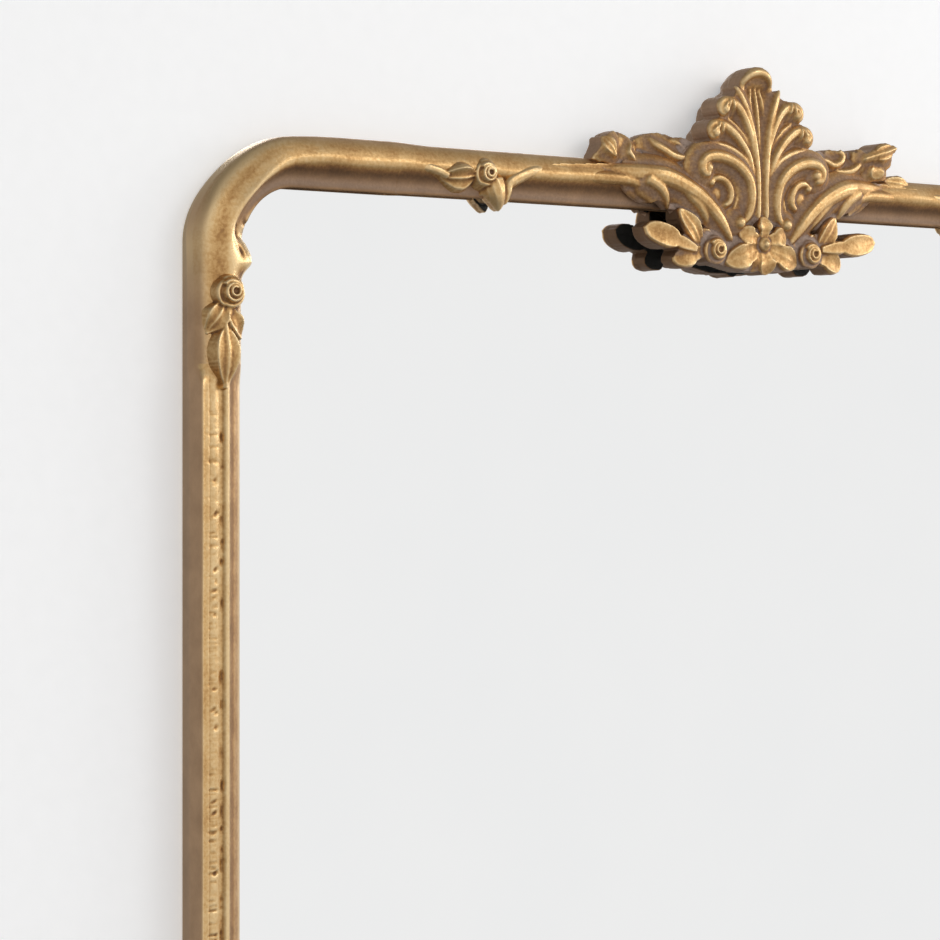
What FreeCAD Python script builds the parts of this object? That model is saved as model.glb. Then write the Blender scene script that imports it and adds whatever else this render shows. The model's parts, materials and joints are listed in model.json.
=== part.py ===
import FreeCAD, Part
import math
import os
import types

import Sketcher

# Cast brass wall mirror with a palmette crest, in millimetres.
# X runs right, Y into the wall, Z up. The wall is the plane of zero Y,
# and zero Z is the height at which the two D-rings bear on their wall hooks.

SIZES = {
    # Frame of castings
    "frame_width": 1016.0,
    "frame_height": 1190.0,
    "hang_drop": 300.0,
    "corner_radius": 80.0,
    "corner_leg": 85.0,
    "member_width": 39.0,
    "frame_depth": 27.0,
    "rim_gap": 2.0,
    "cast_wall": 5.0,
    "channel_width": 20.0,
    "channel_depth": 20.0,
    "sight_height": 14.0,
    "lip_thickness": 2.0,
    # Rounded face of the rails and corners
    "rail_side_height": 13.0,
    "rail_ridge_across": 23.0,
    "rail_side_bow": 5.0,
    "cove_bow": 2.0,
    # Hollowed face of the stiles
    "stile_side_height": 25.0,
    "outer_ridge_width": 3.0,
    "outer_ridge_bow": 0.7,
    "groove_width": 18.0,
    "groove_bow": 2.6,
    "bead_width": 5.0,
    "bead_fall": 1.8,
    "bead_bow": 1.2,
    # Pins across the joints of the castings
    "pin_radius": 1.5,
    "pin_length": 24.0,
    "pin_across": 28.0,
    "pin_height": 15.5,
    # Glazing
    "tape_thickness": 1.0,
    "tape_width": 10.0,
    "glass_thickness": 4.0,
    "glass_overlap": 12.0,
    "board_thickness": 3.0,
    "block_length": 40.0,
    "block_clearance": 0.1,
    # Battens and their screws
    "batten_clearance": 0.2,
    "batten_end_gap": 5.0,
    "screw_radius": 1.75,
    "screw_head_radius": 3.4,
    "screw_head_height": 1.3,
    "screw_bite": 2.5,
    "screw_end_margin": 30.0,
    "crest_screw_spread": 40.0,
    # Turn buttons
    "button_reach": 20.0,
    "button_width": 10.0,
    "button_thickness": 1.5,
    "button_gap": 0.1,
    "button_bite": 10.0,
    "pivot_clearance": 0.08,
    # Strap hangers and rings
    "strap_width": 10.0,
    "strap_length": 36.0,
    "strap_thickness": 1.2,
    "barrel_wall": 0.9,
    "barrel_lift": 0.5,
    "ring_wire_radius": 1.25,
    "ring_half_width": 8.75,
    "ring_corner": 3.0,
    "ring_side": 4.0,
    "strap_screw_drop": 7.0,
    "strap_screw_pitch": 17.0,
    # Wall bumpers
    "bumper_radius": 7.0,
    "bumper_margin": 70.0,
    # Roses and leaves on the frame
    "rose_radius": 12.0,
    "rose_height": 9.0,
    "rose_across": 21.0,
    "stile_rose_drop": 115.0,
    "rail_rose_inset": 79.0,
    "leaf_length": 40.0,
    "leaf_width": 11.0,
    "leaf_height": 6.0,
    "ornament_gap": 0.5,
    # Crest
    "crest_rise": 79.0,
    "crest_half_width": 166.0,
    "saddle_half_width": 60.0,
    "saddle_drop": 20.0,
    "saddle_back_gap": 2.0,
    "plate_thickness": 4.0,
    "plate_half_width": 96.0,
    "relief_sink": 1.5,
    "garland_drop": 86.0,
    "palmette_root": 46.0,
    "lobe_width": 19.0,
    "lobe_height": 15.0,
    "scroll_radius": 14.0,
    "scroll_wire_radius": 5.0,
    "arm_width": 17.0,
    "arm_height": 12.0,
    "foliage_height": 27.0,
    "foliage_depth": 22.0,
    "foliage_clearance": 2.0,
    "petal_length": 23.0,
    "petal_width": 16.0,
    "petal_height": 9.0,
    "garland_rose_radius": 13.0,
    "garland_rose_offset": 49.0,
    # One overrun serves every cut
    "overrun": 1.0,
}

QUARTER_BOW_SHARE = 1 - math.sqrt(0.5)

# Shares that place pieces, chosen by eye on the size that each follows
BLOCK_SHARE = 0.25
BUTTON_SHARES = {"stile": 0.35, "rail": 0.25}
ROSE_RING_SHARE = 0.62
ROSE_BUD_SHARE = 0.9
ROSE_LEAN = 25
STILE_LEAF_SHARES = [
    # across, drop, length, lean
    (-0.5, 0.56, 0.75, 28),
    (0.5, 0.56, 0.75, -28),
    (0.05, 0.9, 1.1, 3),
]
RAIL_LEAF_SHARES = [
    # outward, drop, length, lean
    (0.58, 0.2, 0.9, 84),
    (-0.4, 0.5, 0.7, -58),
]
SADDLE_FOOT_SHARE = 0.85
SADDLE_TOP_BOW_SHARE = 0.14
SADDLE_SHARES = [
    # across, up, bow of the stretch that leads there
    (0.9, 0.05, 0.02),
    (0.98, 0.34, 0.08),
    (0.76, 0.6, 0.08),
    (0.44, 0.82, 0.08),
    (0.22, 0.9, -0.02),
]
PLATE_SHARES = [(0.3, 0.86), (0.62, 0.92), (0.98, 0.66), (1.38, 0.24), (1.3, 0.1), (0.75, 0.05)]
PETALS = 6
PETAL_REACH_SHARE = 0.56
FLOWER_DROP_SHARE = 0.73
GARLAND_ROSE_DROP_SHARE = 0.8
SPRIG_WIDTH_SHARE = 1.2
SPRIG_SHARES = [
    # outward, down, length, lean
    (1.265, 0.72, 1.55, 85),
    (0.685, 0.9, 0.95, 118),
    (0.725, 0.62, 0.9, 62),
]
LOBE_REACH_SHARE = 0.58
PALMETTE_SHARES = [(0, 1.0), (0.4, 0.87), (0.72, 0.71), (0.9, 0.55)]
ARM_SHARES = [
    # across, up, length, width, lean
    (1.14, -0.22, 0.62, 0.7, 74),
    (0.83, -0.38, 0.52, 0.8, 66),
    (0.59, -0.5, 0.35, 0.7, 60),
]
FOLIAGE_SHARES = [
    # across, up, size, lean
    (0.14, 0.1, 1.2, 20),
    (0.36, 0.15, 1.4, 30),
    (0.58, 0.1, 1.3, 40),
    (0.82, 0.15, 1.5, 55),
]
FOLIAGE_WIDTH_SHARE = 0.25
CURL_ANGLE = 250
CURL_STARTS = {"left_scroll": 160, "right_scroll": 270}
CURL_DROP_SHARE = 0.14

doc = FreeCAD.newDocument("brass_mirror")
sheet = doc.addObject("Spreadsheet::Sheet", "Sizes")


class Size:
    """A length that carries its value and its formula in the sheet."""

    def __init__(self, value, formula):
        self.value = value
        self.formula = formula

    def __add__(self, other):
        if isinstance(other, Size):
            return Size(self.value + other.value, f"({self.formula} + {other.formula})")
        return self

    __radd__ = __add__

    def __neg__(self):
        return Size(-self.value, f"(0 - {self.formula})")

    def __sub__(self, other):
        return self + -other

    def __mul__(self, share):
        return Size(self.value * share, f"({self.formula} * ({share:.9f}))")

    __rmul__ = __mul__

    def __truediv__(self, share):
        return self * (1 / share)


def fill_sheet():
    """Write the driving dimensions to the sheet and return them by name."""
    for row, (alias, value) in enumerate(SIZES.items(), start=1):
        sheet.set(f"A{row}", alias)
        sheet.set(f"B{row}", str(value))
        sheet.setAlias(f"B{row}", alias)
    doc.recompute()
    return types.SimpleNamespace(
        **{alias: Size(value, f"Sizes.{alias}") for alias, value in SIZES.items()}
    )


s = fill_sheet()
ZERO = s.overrun * 0


def bind(item, path, size):
    """Tie one property of an object to the sheet."""
    item.setExpression(path, size.formula)


def turned(axis, angle):
    """A rotation about one axis of the frame."""
    return FreeCAD.Rotation(FreeCAD.Vector(*axis), angle)


ACROSS = (1, 0, 0)
INTO_WALL = (0, 1, 0)
UPRIGHT = (0, 0, 1)


def place(item, x, y, z, rotation=FreeCAD.Rotation()):
    """Turn an object and tie its position to the sheet."""
    item.Placement = FreeCAD.Placement(FreeCAD.Vector(), rotation)
    for letter, size in zip("xyz", (x, y, z)):
        bind(item, f"Placement.Base.{letter}", size)
    return item


# Heights, depths and places that several pieces share
frame_top = s.hang_drop
frame_bottom = s.hang_drop - s.frame_height
frame_middle = s.hang_drop - s.frame_height / 2
half_width = s.frame_width / 2
ridge_y = -(s.rim_gap + s.frame_depth)
lip_y = -(s.rim_gap + s.sight_height - s.lip_thickness)
glass_front_y = lip_y + s.tape_thickness
glass_back_y = glass_front_y + s.glass_thickness
board_back_y = glass_back_y + s.board_thickness
batten_front_y = -(s.rim_gap + s.channel_depth)
glass_inset = s.member_width - s.glass_overlap
batten_width = s.channel_width - s.batten_clearance * 2
batten_across = s.cast_wall + s.channel_width / 2
stile_run = s.frame_height - (s.corner_radius + s.corner_leg) * 2
rail_run = s.frame_width - (s.corner_radius + s.corner_leg) * 2
stile_batten_length = s.frame_height - (s.corner_radius + s.batten_end_gap) * 2
rail_batten_length = s.frame_width - (s.corner_radius + s.batten_end_gap) * 2
ornament_back_y = ridge_y - s.ornament_gap
crest_front_y = ornament_back_y - s.plate_thickness
saddle_foot = s.saddle_half_width * SADDLE_FOOT_SHARE


# Sketches and primitives

def own_plane(body, role):
    """One of a body's own origin planes."""
    return next(item for item in body.Origin.OriginFeatures if item.Role == role)


def new_sketch(body, role, name):
    """An empty sketch on one of the body's own planes."""
    sketch = body.newObject("Sketcher::SketchObject", name)
    sketch.AttachmentSupport = [(own_plane(body, role), "")]
    sketch.MapMode = "FlatFace"
    return sketch


def fix_point(sketch, curve, end, x, y):
    """Hold one end of a curve at sheet-bound coordinates."""
    for kind, size in (("DistanceX", x), ("DistanceY", y)):
        rule = sketch.addConstraint(Sketcher.Constraint(kind, -1, 1, curve, end, size.value))
        bind(sketch, f"Constraints[{rule}]", size)


def fix_radius(sketch, curve, radius, formula):
    """Hold the radius of an arc or circle."""
    rule = sketch.addConstraint(Sketcher.Constraint("Radius", curve, radius))
    sketch.setExpression(f"Constraints[{rule}]", formula)


def add_stretch(sketch, start, finish):
    """Draw one stretch of an outline, bowed to the right of its run where it has a bow."""
    ax, ay = start[:2]
    bx, by = finish[:2]
    a = FreeCAD.Vector(ax.value, ay.value, 0)
    b = FreeCAD.Vector(bx.value, by.value, 0)
    if len(finish) == 2:
        return sketch.addGeometry(Part.LineSegment(a, b)), 1
    bow = finish[2]
    run = b - a
    right = FreeCAD.Vector(run.y, -run.x, 0).normalize()
    swollen = bow.value > 0
    first, last = (a, b) if swollen else (b, a)
    curve = sketch.addGeometry(Part.Arc(first, (a + b) / 2 + right * bow.value, last))
    chord = f"(({bx.formula} - {ax.formula})^2 + ({by.formula} - {ay.formula})^2)"
    fix_radius(
        sketch,
        curve,
        sketch.Geometry[curve].Radius,
        f"abs(({chord} / 4 + {bow.formula}^2) / (2 * {bow.formula}))",
    )
    return curve, 1 if swollen else 2


def closed_outline(sketch, points):
    """Draw a closed outline through points (x, y) or (x, y, bow of the stretch that leads there)."""
    stretches = []
    for index, start in enumerate(points):
        finish = points[(index + 1) % len(points)]
        stretches.append(add_stretch(sketch, start, finish))
    for index, (curve, end) in enumerate(stretches):
        last_curve, last_end = stretches[index - 1]
        sketch.addConstraint(Sketcher.Constraint("Coincident", last_curve, 3 - last_end, curve, end))
        fix_point(sketch, curve, end, *points[index][:2])
    return sketch


def add_circle(sketch, radius):
    """Draw a circle round the sketch's origin."""
    circle = Part.Circle(FreeCAD.Vector(), FreeCAD.Vector(0, 0, 1), radius.value)
    curve = sketch.addGeometry(circle)
    sketch.addConstraint(Sketcher.Constraint("Coincident", curve, 3, -1, 1))
    fix_radius(sketch, curve, radius.value, radius.formula)


def new_body(name):
    """A body that carries its own label."""
    body = doc.addObject("PartDesign::Body", name)
    body.Label = name
    return body


def add_pad(body, sketch, length, both_ways=True):
    """Pad a sketch, about its own plane or to its far side."""
    pad = body.newObject("PartDesign::Pad", f"{sketch.Name}_pad")
    pad.Profile = sketch
    pad.Midplane = both_ways
    pad.Reversed = not both_ways
    bind(pad, "Length", length)
    return pad


def box(name, x, y, z):
    """A box between two bounds along each axis, written (low, high)."""
    item = doc.addObject("Part::Box", name)
    for path, (low, high) in zip(("Length", "Width", "Height"), (x, y, z)):
        bind(item, path, high - low)
    return place(item, x[0], y[0], z[0])


def cylinder(name, start, radius, height, rotation):
    """A cylinder that starts at a point and runs along its turned Z axis."""
    item = doc.addObject("Part::Cylinder", name)
    bind(item, "Radius", radius)
    bind(item, "Height", height)
    return place(item, *start, rotation)


def egg(name, centre, length, width, height, turn):
    """An ellipsoid: its length leans from Z towards X, and its height is along Y."""
    item = doc.addObject("Part::Ellipsoid", name)
    for path, size in (("Radius1", length), ("Radius2", width), ("Radius3", height)):
        bind(item, path, size / 2)
    return place(item, *centre, turned(INTO_WALL, turn))


def fuse(name, pieces):
    """Join solids into one."""
    item = doc.addObject("Part::MultiFuse", name)
    item.Shapes = pieces
    return item


def cut(name, base, tools):
    """Take solids away from a solid, one after another."""
    for number, tool in enumerate(tools):
        step = doc.addObject("Part::Cut", f"{name}_{number}")
        step.Base = base
        step.Tool = tool
        base = step
    base.Label = name
    return base


def in_front(name, item, y):
    """Keep what lies in front of a depth plane."""
    reach = s.frame_width
    space = box(f"{name}_front", (-reach, reach), (y - reach, y), (-reach * 2, reach * 2))
    step = doc.addObject("Part::Common", f"{name}_common")
    step.Base = item
    step.Tool = space
    return step


def group(name, items):
    """Gather separate solids in one node."""
    item = doc.addObject("Part::Compound", name)
    item.Links = items
    item.Label = name
    return item


def copies(name, master, spots):
    """Repeat one fastener at several places, each spot written (x, y, z)."""
    links = []
    for number, spot in enumerate(spots):
        link = doc.addObject("App::Link", f"{name}_{number}")
        link.LinkedObject = master
        links.append(place(link, *spot))
    return group(name, links)


# Castings of the frame

def back_outline():
    """The lip, rebate and hollow that every casting has behind its face."""
    lip = s.sight_height - s.lip_thickness
    hollow = s.cast_wall + s.channel_width
    return [
        (s.member_width, -lip),
        (hollow, -lip),
        (hollow, -s.channel_depth),
        (s.cast_wall, -s.channel_depth),
        (s.cast_wall, ZERO),
    ]


def rail_face():
    """Rounded side, ridge and cove of the rails and corners."""
    return [
        (ZERO, ZERO),
        (ZERO, -s.rail_side_height),
        (s.rail_ridge_across, -s.frame_depth, s.rail_side_bow),
        (s.member_width, -s.sight_height, -s.cove_bow),
    ]


def stile_face():
    """Outer ridge, hollow, bead and cove of the stiles."""
    groove_end = s.outer_ridge_width + s.groove_width
    return [
        (ZERO, ZERO),
        (ZERO, -s.stile_side_height),
        (s.outer_ridge_width, -s.frame_depth, s.outer_ridge_bow),
        (groove_end, -s.frame_depth, -s.groove_bow),
        (groove_end + s.bead_width, s.bead_fall - s.frame_depth, s.bead_bow),
        (s.member_width, -s.sight_height, -s.cove_bow),
    ]


def straight_member(name, points, length):
    """A straight run of moulding, with its outer edge on the local Z axis."""
    body = new_body(name)
    sketch = closed_outline(new_sketch(body, "XY_Plane", f"{name}_section"), points)
    add_pad(body, sketch, length)
    return body


def corner_member(name):
    """A quarter turn of moulding with a straight leg on either side."""
    points = rail_face() + back_outline()
    body = new_body(name)
    turn_sketch = closed_outline(new_sketch(body, "XY_Plane", f"{name}_turn"), points)
    axis = turn_sketch.addGeometry(
        Part.LineSegment(
            FreeCAD.Vector(s.corner_radius.value, -s.frame_depth.value, 0),
            FreeCAD.Vector(s.corner_radius.value, 0, 0),
        ),
        True,
    )
    fix_point(turn_sketch, axis, 1, s.corner_radius, -s.frame_depth)
    fix_point(turn_sketch, axis, 2, s.corner_radius, ZERO)
    bend = body.newObject("PartDesign::Revolution", f"{name}_bend")
    bend.Profile = turn_sketch
    bend.ReferenceAxis = (turn_sketch, ["Axis0"])
    bend.Angle = 90
    stile_leg = closed_outline(new_sketch(body, "XY_Plane", f"{name}_stile_leg"), points)
    add_pad(body, stile_leg, s.corner_leg, both_ways=False)
    rail_leg = new_sketch(body, "YZ_Plane", f"{name}_rail_leg")
    bind(rail_leg, "AttachmentOffset.Base.z", s.corner_radius)
    closed_outline(rail_leg, [(y, s.corner_radius - x, *bow) for x, y, *bow in points])
    pad = add_pad(body, rail_leg, s.corner_leg, both_ways=False)
    pad.Reversed = False
    return body


def make_frame_castings():
    """Two stiles, two rails and four corners, still without pin and screw holes."""
    stile_points = stile_face() + back_outline()
    rail_points = rail_face() + back_outline()
    bend = s.corner_radius
    castings = {
        "left_stile": straight_member("left_stile_blank", stile_points, stile_run),
        "right_stile": straight_member("right_stile_blank", stile_points, stile_run),
        "top_rail": straight_member("top_rail_blank", rail_points, rail_run),
        "bottom_rail": straight_member("bottom_rail_blank", rail_points, rail_run),
    }
    for name in ("top_left", "top_right", "bottom_right", "bottom_left"):
        castings[f"{name}_corner"] = corner_member(f"{name}_corner_blank")
    spots = {
        "left_stile": (-half_width, frame_middle, 0),
        "right_stile": (half_width, frame_middle, 180),
        "top_rail": (ZERO, frame_top, 90),
        "bottom_rail": (ZERO, frame_bottom, 270),
        "top_left_corner": (-half_width, frame_top - bend, 0),
        "top_right_corner": (half_width - bend, frame_top, 90),
        "bottom_right_corner": (half_width, frame_bottom + bend, 180),
        "bottom_left_corner": (bend - half_width, frame_bottom, 270),
    }
    for name, (x, z, turn) in spots.items():
        place(castings[name], x, -s.rim_gap, z, turned(INTO_WALL, turn))
    return castings


def make_joint_pins():
    """One pin across each joint between a corner and its neighbours."""
    pins = []
    pin_y = -(s.rim_gap + s.pin_height)
    half_pin = s.pin_length / 2

    def add_pin(x, z, rotation):
        pins.append(cylinder(f"pin_{len(pins)}", (x, pin_y, z), s.pin_radius, s.pin_length, rotation))

    for side in (-1, 1):
        for end in (-1, 1):
            stile_joint = frame_middle + stile_run / 2 * end
            rail_height = frame_middle + (s.frame_height / 2 - s.pin_across) * end
            add_pin((half_width - s.pin_across) * side, stile_joint - half_pin, turned(UPRIGHT, 0))
            add_pin(rail_run / 2 * side - half_pin, rail_height, turned(INTO_WALL, 90))
    return group("joint_pins", pins)


# Glazing, battens and hardware at the back

def rounded_sheet(name, front_y, back_y):
    """A sheet that fills the rebate, with round corners like the frame's."""
    wide = half_width - glass_inset
    tall = s.frame_height / 2 - glass_inset
    bend = s.corner_radius - glass_inset
    bow = bend * QUARTER_BOW_SHARE
    body = new_body(name)
    sketch = closed_outline(new_sketch(body, "XZ_Plane", f"{name}_outline"), [
        (bend - wide, -tall, bow),
        (wide - bend, -tall),
        (wide, bend - tall, bow),
        (wide, tall - bend),
        (wide - bend, tall, bow),
        (bend - wide, tall),
        (-wide, tall - bend, bow),
        (-wide, bend - tall),
    ])
    add_pad(body, sketch, back_y - front_y)
    return place(body, ZERO, (front_y + back_y) / 2, frame_middle)


def make_tape():
    """A strip of glazing tape behind each straight lip."""
    inner = s.member_width - s.lip_thickness
    outer = inner - s.tape_width
    depth = (lip_y, glass_front_y)
    upright = (frame_middle - stile_batten_length / 2, frame_middle + stile_batten_length / 2)
    level = (-rail_batten_length / 2, rail_batten_length / 2)
    return {
        "left_tape": box("left_tape", (outer - half_width, inner - half_width), depth, upright),
        "right_tape": box("right_tape", (half_width - inner, half_width - outer), depth, upright),
        "top_tape": box("top_tape", level, depth, (frame_top - inner, frame_top - outer)),
        "bottom_tape": box("bottom_tape", level, depth, (frame_bottom + outer, frame_bottom + inner)),
    }


def make_battens():
    """A wood batten in the hollow of each straight run, still without screw holes."""
    near = batten_across - batten_width / 2
    far = batten_across + batten_width / 2
    depth = (batten_front_y + s.batten_clearance, board_back_y)
    upright = (frame_middle - stile_batten_length / 2, frame_middle + stile_batten_length / 2)
    level = (-rail_batten_length / 2, rail_batten_length / 2)
    return {
        "left_batten": box("left_batten_blank", (near - half_width, far - half_width), depth, upright),
        "right_batten": box("right_batten_blank", (half_width - far, half_width - near), depth, upright),
        "top_batten": box("top_batten_blank", level, depth, (frame_top - far, frame_top - near)),
        "bottom_batten": box("bottom_batten_blank", level, depth, (frame_bottom + near, frame_bottom + far)),
    }


def make_setting_blocks():
    """Two rubber blocks that carry the glass on the bottom batten."""
    low = frame_bottom + batten_across + batten_width / 2 + s.block_clearance
    high = frame_bottom + glass_inset - s.block_clearance
    blocks = []
    for side in (-1, 1):
        middle = rail_batten_length * BLOCK_SHARE * side
        run = (middle - s.block_length / 2, middle + s.block_length / 2)
        blocks.append(box(f"setting_block_{len(blocks)}", run, (glass_front_y, board_back_y), (low, high)))
    return group("setting_blocks", blocks)


def screw(name, shank):
    """A pan-head screw with its head's underside at the origin and its tip towards the front."""
    body = new_body(name)
    sketch = closed_outline(new_sketch(body, "XY_Plane", f"{name}_half"), [
        (ZERO, -shank),
        (s.screw_radius, -shank),
        (s.screw_radius, ZERO),
        (s.screw_head_radius, ZERO),
        (s.screw_head_radius, s.screw_head_height),
        (ZERO, s.screw_head_height),
    ])
    spin = body.newObject("PartDesign::Revolution", f"{name}_spin")
    spin.Profile = sketch
    spin.ReferenceAxis = (sketch, ["V_Axis"])
    spin.Angle = 360
    return body


def batten_runs():
    """For each batten: a point on its middle line, its run's direction, its lengths and its inward turn."""
    stile_x = half_width - batten_across
    rail_z = s.frame_height / 2 - batten_across
    return {
        "left": ((-stile_x, frame_middle), (0, 1), stile_run, stile_batten_length, 0),
        "right": ((stile_x, frame_middle), (0, 1), stile_run, stile_batten_length, 180),
        "top": ((ZERO, frame_middle + rail_z), (1, 0), rail_run, rail_batten_length, 90),
        "bottom": ((ZERO, frame_middle - rail_z), (1, 0), rail_run, rail_batten_length, 270),
    }


def along(run, distance):
    """The point on a batten's middle line at a distance from its middle."""
    (x, z), (right, up) = run[:2]
    return x + distance * right, z + distance * up


def make_batten_screws():
    """Screws that hold the castings to the battens: one in the middle, two near each joint."""
    shank = board_back_y - batten_front_y + s.screw_bite
    master = screw("batten_screw", shank)
    spots = []
    for run in batten_runs().values():
        casting, batten = run[2:4]
        for end in (-1, 1):
            for reach in (casting / 2 - s.screw_end_margin, batten / 2 - s.screw_end_margin):
                x, z = along(run, reach * end)
                spots.append((x, board_back_y, z))
        x, z = along(run, ZERO)
        spots.append((x, board_back_y, z))
    return copies("batten_screws", master, spots)


def make_crest_screws():
    """Two screws through the top batten and rail that hold the crest saddle."""
    shank = board_back_y - ornament_back_y + s.screw_bite
    spots = [
        (s.crest_screw_spread * side, board_back_y, frame_top - batten_across) for side in (-1, 1)
    ]
    return copies("crest_screws", screw("crest_screw", shank), spots)


def turn_button(name):
    """A flat turn button with its pivot hole at the origin and its arm along X."""
    half = s.button_width / 2
    body = new_body(name)
    bow = half * QUARTER_BOW_SHARE
    sketch = closed_outline(new_sketch(body, "XZ_Plane", f"{name}_outline"), [
        (ZERO, -half, bow),
        (s.button_reach, -half),
        (s.button_reach + half, ZERO, bow),
        (s.button_reach, half, bow),
        (ZERO, half),
        (-half, ZERO, bow),
    ])
    add_circle(sketch, s.screw_radius + s.pivot_clearance)
    add_pad(body, sketch, s.button_thickness)
    return body


def make_turn_buttons():
    """Two turn buttons on each batten, and the screws that they turn on."""
    buttons = {}
    spots = []
    middle_y = board_back_y + s.button_gap + s.button_thickness / 2
    head_y = board_back_y + s.button_gap * 2 + s.button_thickness
    for side, run in batten_runs().items():
        share = BUTTON_SHARES["stile" if side in ("left", "right") else "rail"]
        for end, sign in (("a", 1), ("b", -1)):
            x, z = along(run, run[3] * share * sign)
            name = f"{side}_turn_button_{end}"
            buttons[name] = place(turn_button(name), x, middle_y, z, turned(INTO_WALL, run[4]))
            spots.append((x, head_y, z))
    shank = s.button_gap * 2 + s.button_thickness + s.button_bite
    return buttons, copies("button_screws", screw("button_screw", shank), spots)


# The ring bears on its hook at zero height, so its bar lies one inner loop below
ring_bar_z = -(s.ring_side + s.ring_half_width - s.ring_wire_radius)
barrel_bore = s.ring_wire_radius + s.pivot_clearance
barrel_radius = barrel_bore + s.barrel_wall
ring_bar_y = board_back_y + s.barrel_lift + barrel_radius
hanger_x = half_width - batten_across


def strap_screw_heights():
    """Heights of the two screws in a strap."""
    first = ring_bar_z - s.strap_screw_drop
    return first, first - s.strap_screw_pitch


def make_strap(name, x, screws):
    """A strap with a rolled barrel at its top end for the ring's bar."""
    half = s.strap_width / 2
    run = (x - half, x + half)
    low = ring_bar_z - s.strap_length
    leaf = box(f"{name}_leaf", run, (board_back_y, board_back_y + s.strap_thickness), (low, ring_bar_z))
    sideways = turned(INTO_WALL, 90)
    start = (x - half, ring_bar_y, ring_bar_z)
    barrel = cylinder(f"{name}_barrel", start, barrel_radius, s.strap_width, sideways)
    start = (x - half - s.overrun, ring_bar_y, ring_bar_z)
    bore = cylinder(f"{name}_bore", start, barrel_bore, s.strap_width + s.overrun * 2, sideways)
    return cut(name, fuse(f"{name}_blank", [leaf, barrel]), [bore, screws])


def make_ring(name, x):
    """A D-ring of round wire, standing up from its bar."""
    wide = s.ring_half_width
    bend = s.ring_corner
    bow = bend * QUARTER_BOW_SHARE
    body = new_body(name)
    path = closed_outline(new_sketch(body, "XZ_Plane", f"{name}_path"), [
        (ZERO, ZERO),
        (wide - bend, ZERO),
        (wide, bend, bow),
        (wide, s.ring_side),
        (ZERO, s.ring_side + wide, wide * QUARTER_BOW_SHARE),
        (-wide, s.ring_side, wide * QUARTER_BOW_SHARE),
        (-wide, bend),
        (bend - wide, ZERO, bow),
    ])
    wire = new_sketch(body, "YZ_Plane", f"{name}_wire")
    add_circle(wire, s.ring_wire_radius)
    pipe = body.newObject("PartDesign::AdditivePipe", f"{name}_pipe")
    pipe.Profile = wire
    pipe.Spine = path
    return place(body, x, ring_bar_y, ring_bar_z)


def make_hangers():
    """A strap and a ring at each side, and the straps' screws."""
    spots = []
    for side in (-1, 1):
        for height in strap_screw_heights():
            spots.append((hanger_x * side, board_back_y + s.strap_thickness, height))
    screws = copies("strap_screws", screw("strap_screw", s.strap_thickness + s.button_bite), spots)
    nodes = {"strap_screws": screws}
    for name, side in (("left", -1), ("right", 1)):
        nodes[f"{name}_strap"] = make_strap(f"{name}_strap", hanger_x * side, screws)
        nodes[f"{name}_ring"] = make_ring(f"{name}_ring", hanger_x * side)
    return nodes


def make_bumpers():
    """Four rubber bumpers that keep the frame off the wall."""
    bumpers = []
    for side in (-1, 1):
        for end in (-1, 1):
            z = frame_middle + (stile_batten_length / 2 - s.bumper_margin) * end
            start = (hanger_x * side, ZERO, z)
            forward = turned(ACROSS, 90)
            bumpers.append(
                cylinder(f"bumper_{len(bumpers)}", start, s.bumper_radius, -board_back_y, forward)
            )
    return group("wall_bumpers", bumpers)


# Ornaments: roses and leaves, the crest and its garland

def rose(name, x, y, z, radius, height):
    """A rose: a ring of petals round a bud, sunk a little behind the given depth."""
    ring = doc.addObject("Part::Torus", f"{name}_petals")
    bind(ring, "Radius1", radius * ROSE_RING_SHARE)
    bind(ring, "Radius2", radius * (1 - ROSE_RING_SHARE))
    sunk_y = y + s.relief_sink
    place(ring, x, sunk_y, z, turned(ACROSS, 90))
    bud = egg(f"{name}_bud", (x, sunk_y, z), radius, radius * ROSE_BUD_SHARE, height * 2, ROSE_LEAN)
    return [ring, bud]


def relief(name, pieces, y):
    """Join the pieces of a relief and give it a flat back."""
    item = in_front(name, fuse(f"{name}_blank", pieces), y)
    item.Label = name
    return item


def stile_sprig(name, side, end):
    """A rose with three leaves below it, on the ridges of the stile and the corner."""
    x = (half_width - s.rose_across) * side
    z = frame_middle + (s.frame_height / 2 - s.stile_rose_drop) * end
    pieces = rose(name, x, ornament_back_y, z, s.rose_radius, s.rose_height)
    for number, (across, drop, length, lean) in enumerate(STILE_LEAF_SHARES):
        centre = (
            x + s.rose_radius * across * side,
            ornament_back_y + s.relief_sink,
            z - s.leaf_length * drop * end,
        )
        size = (s.leaf_length * length, s.leaf_width, s.leaf_height * 2)
        pieces.append(egg(f"{name}_leaf_{number}", centre, *size, lean * side * end))
    return relief(name, pieces, ornament_back_y)


def rail_sprig(name, side, end):
    """A rose between two leaves, on the ridge of a rail."""
    x = (rail_run / 2 - s.rail_rose_inset) * side
    z = frame_middle + (s.frame_height / 2 - s.rose_across) * end
    pieces = rose(name, x, ornament_back_y, z, s.rose_radius, s.rose_height)
    for number, (outward, drop, length, lean) in enumerate(RAIL_LEAF_SHARES):
        centre = (
            x + s.leaf_length * outward * side,
            ornament_back_y + s.relief_sink,
            z - s.rose_radius * drop * end,
        )
        size = (s.leaf_length * length, s.leaf_width, s.leaf_height * 2)
        pieces.append(egg(f"{name}_leaf_{number}", centre, *size, lean * side * end))
    return relief(name, pieces, ornament_back_y)


def rail_envelope():
    """The top rail without its hollow, which the saddle is fitted round."""
    body = straight_member("rail_envelope", rail_face() + [(s.member_width, ZERO)], rail_run)
    return place(body, ZERO, -s.rim_gap, frame_top, turned(INTO_WALL, 90))


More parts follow.
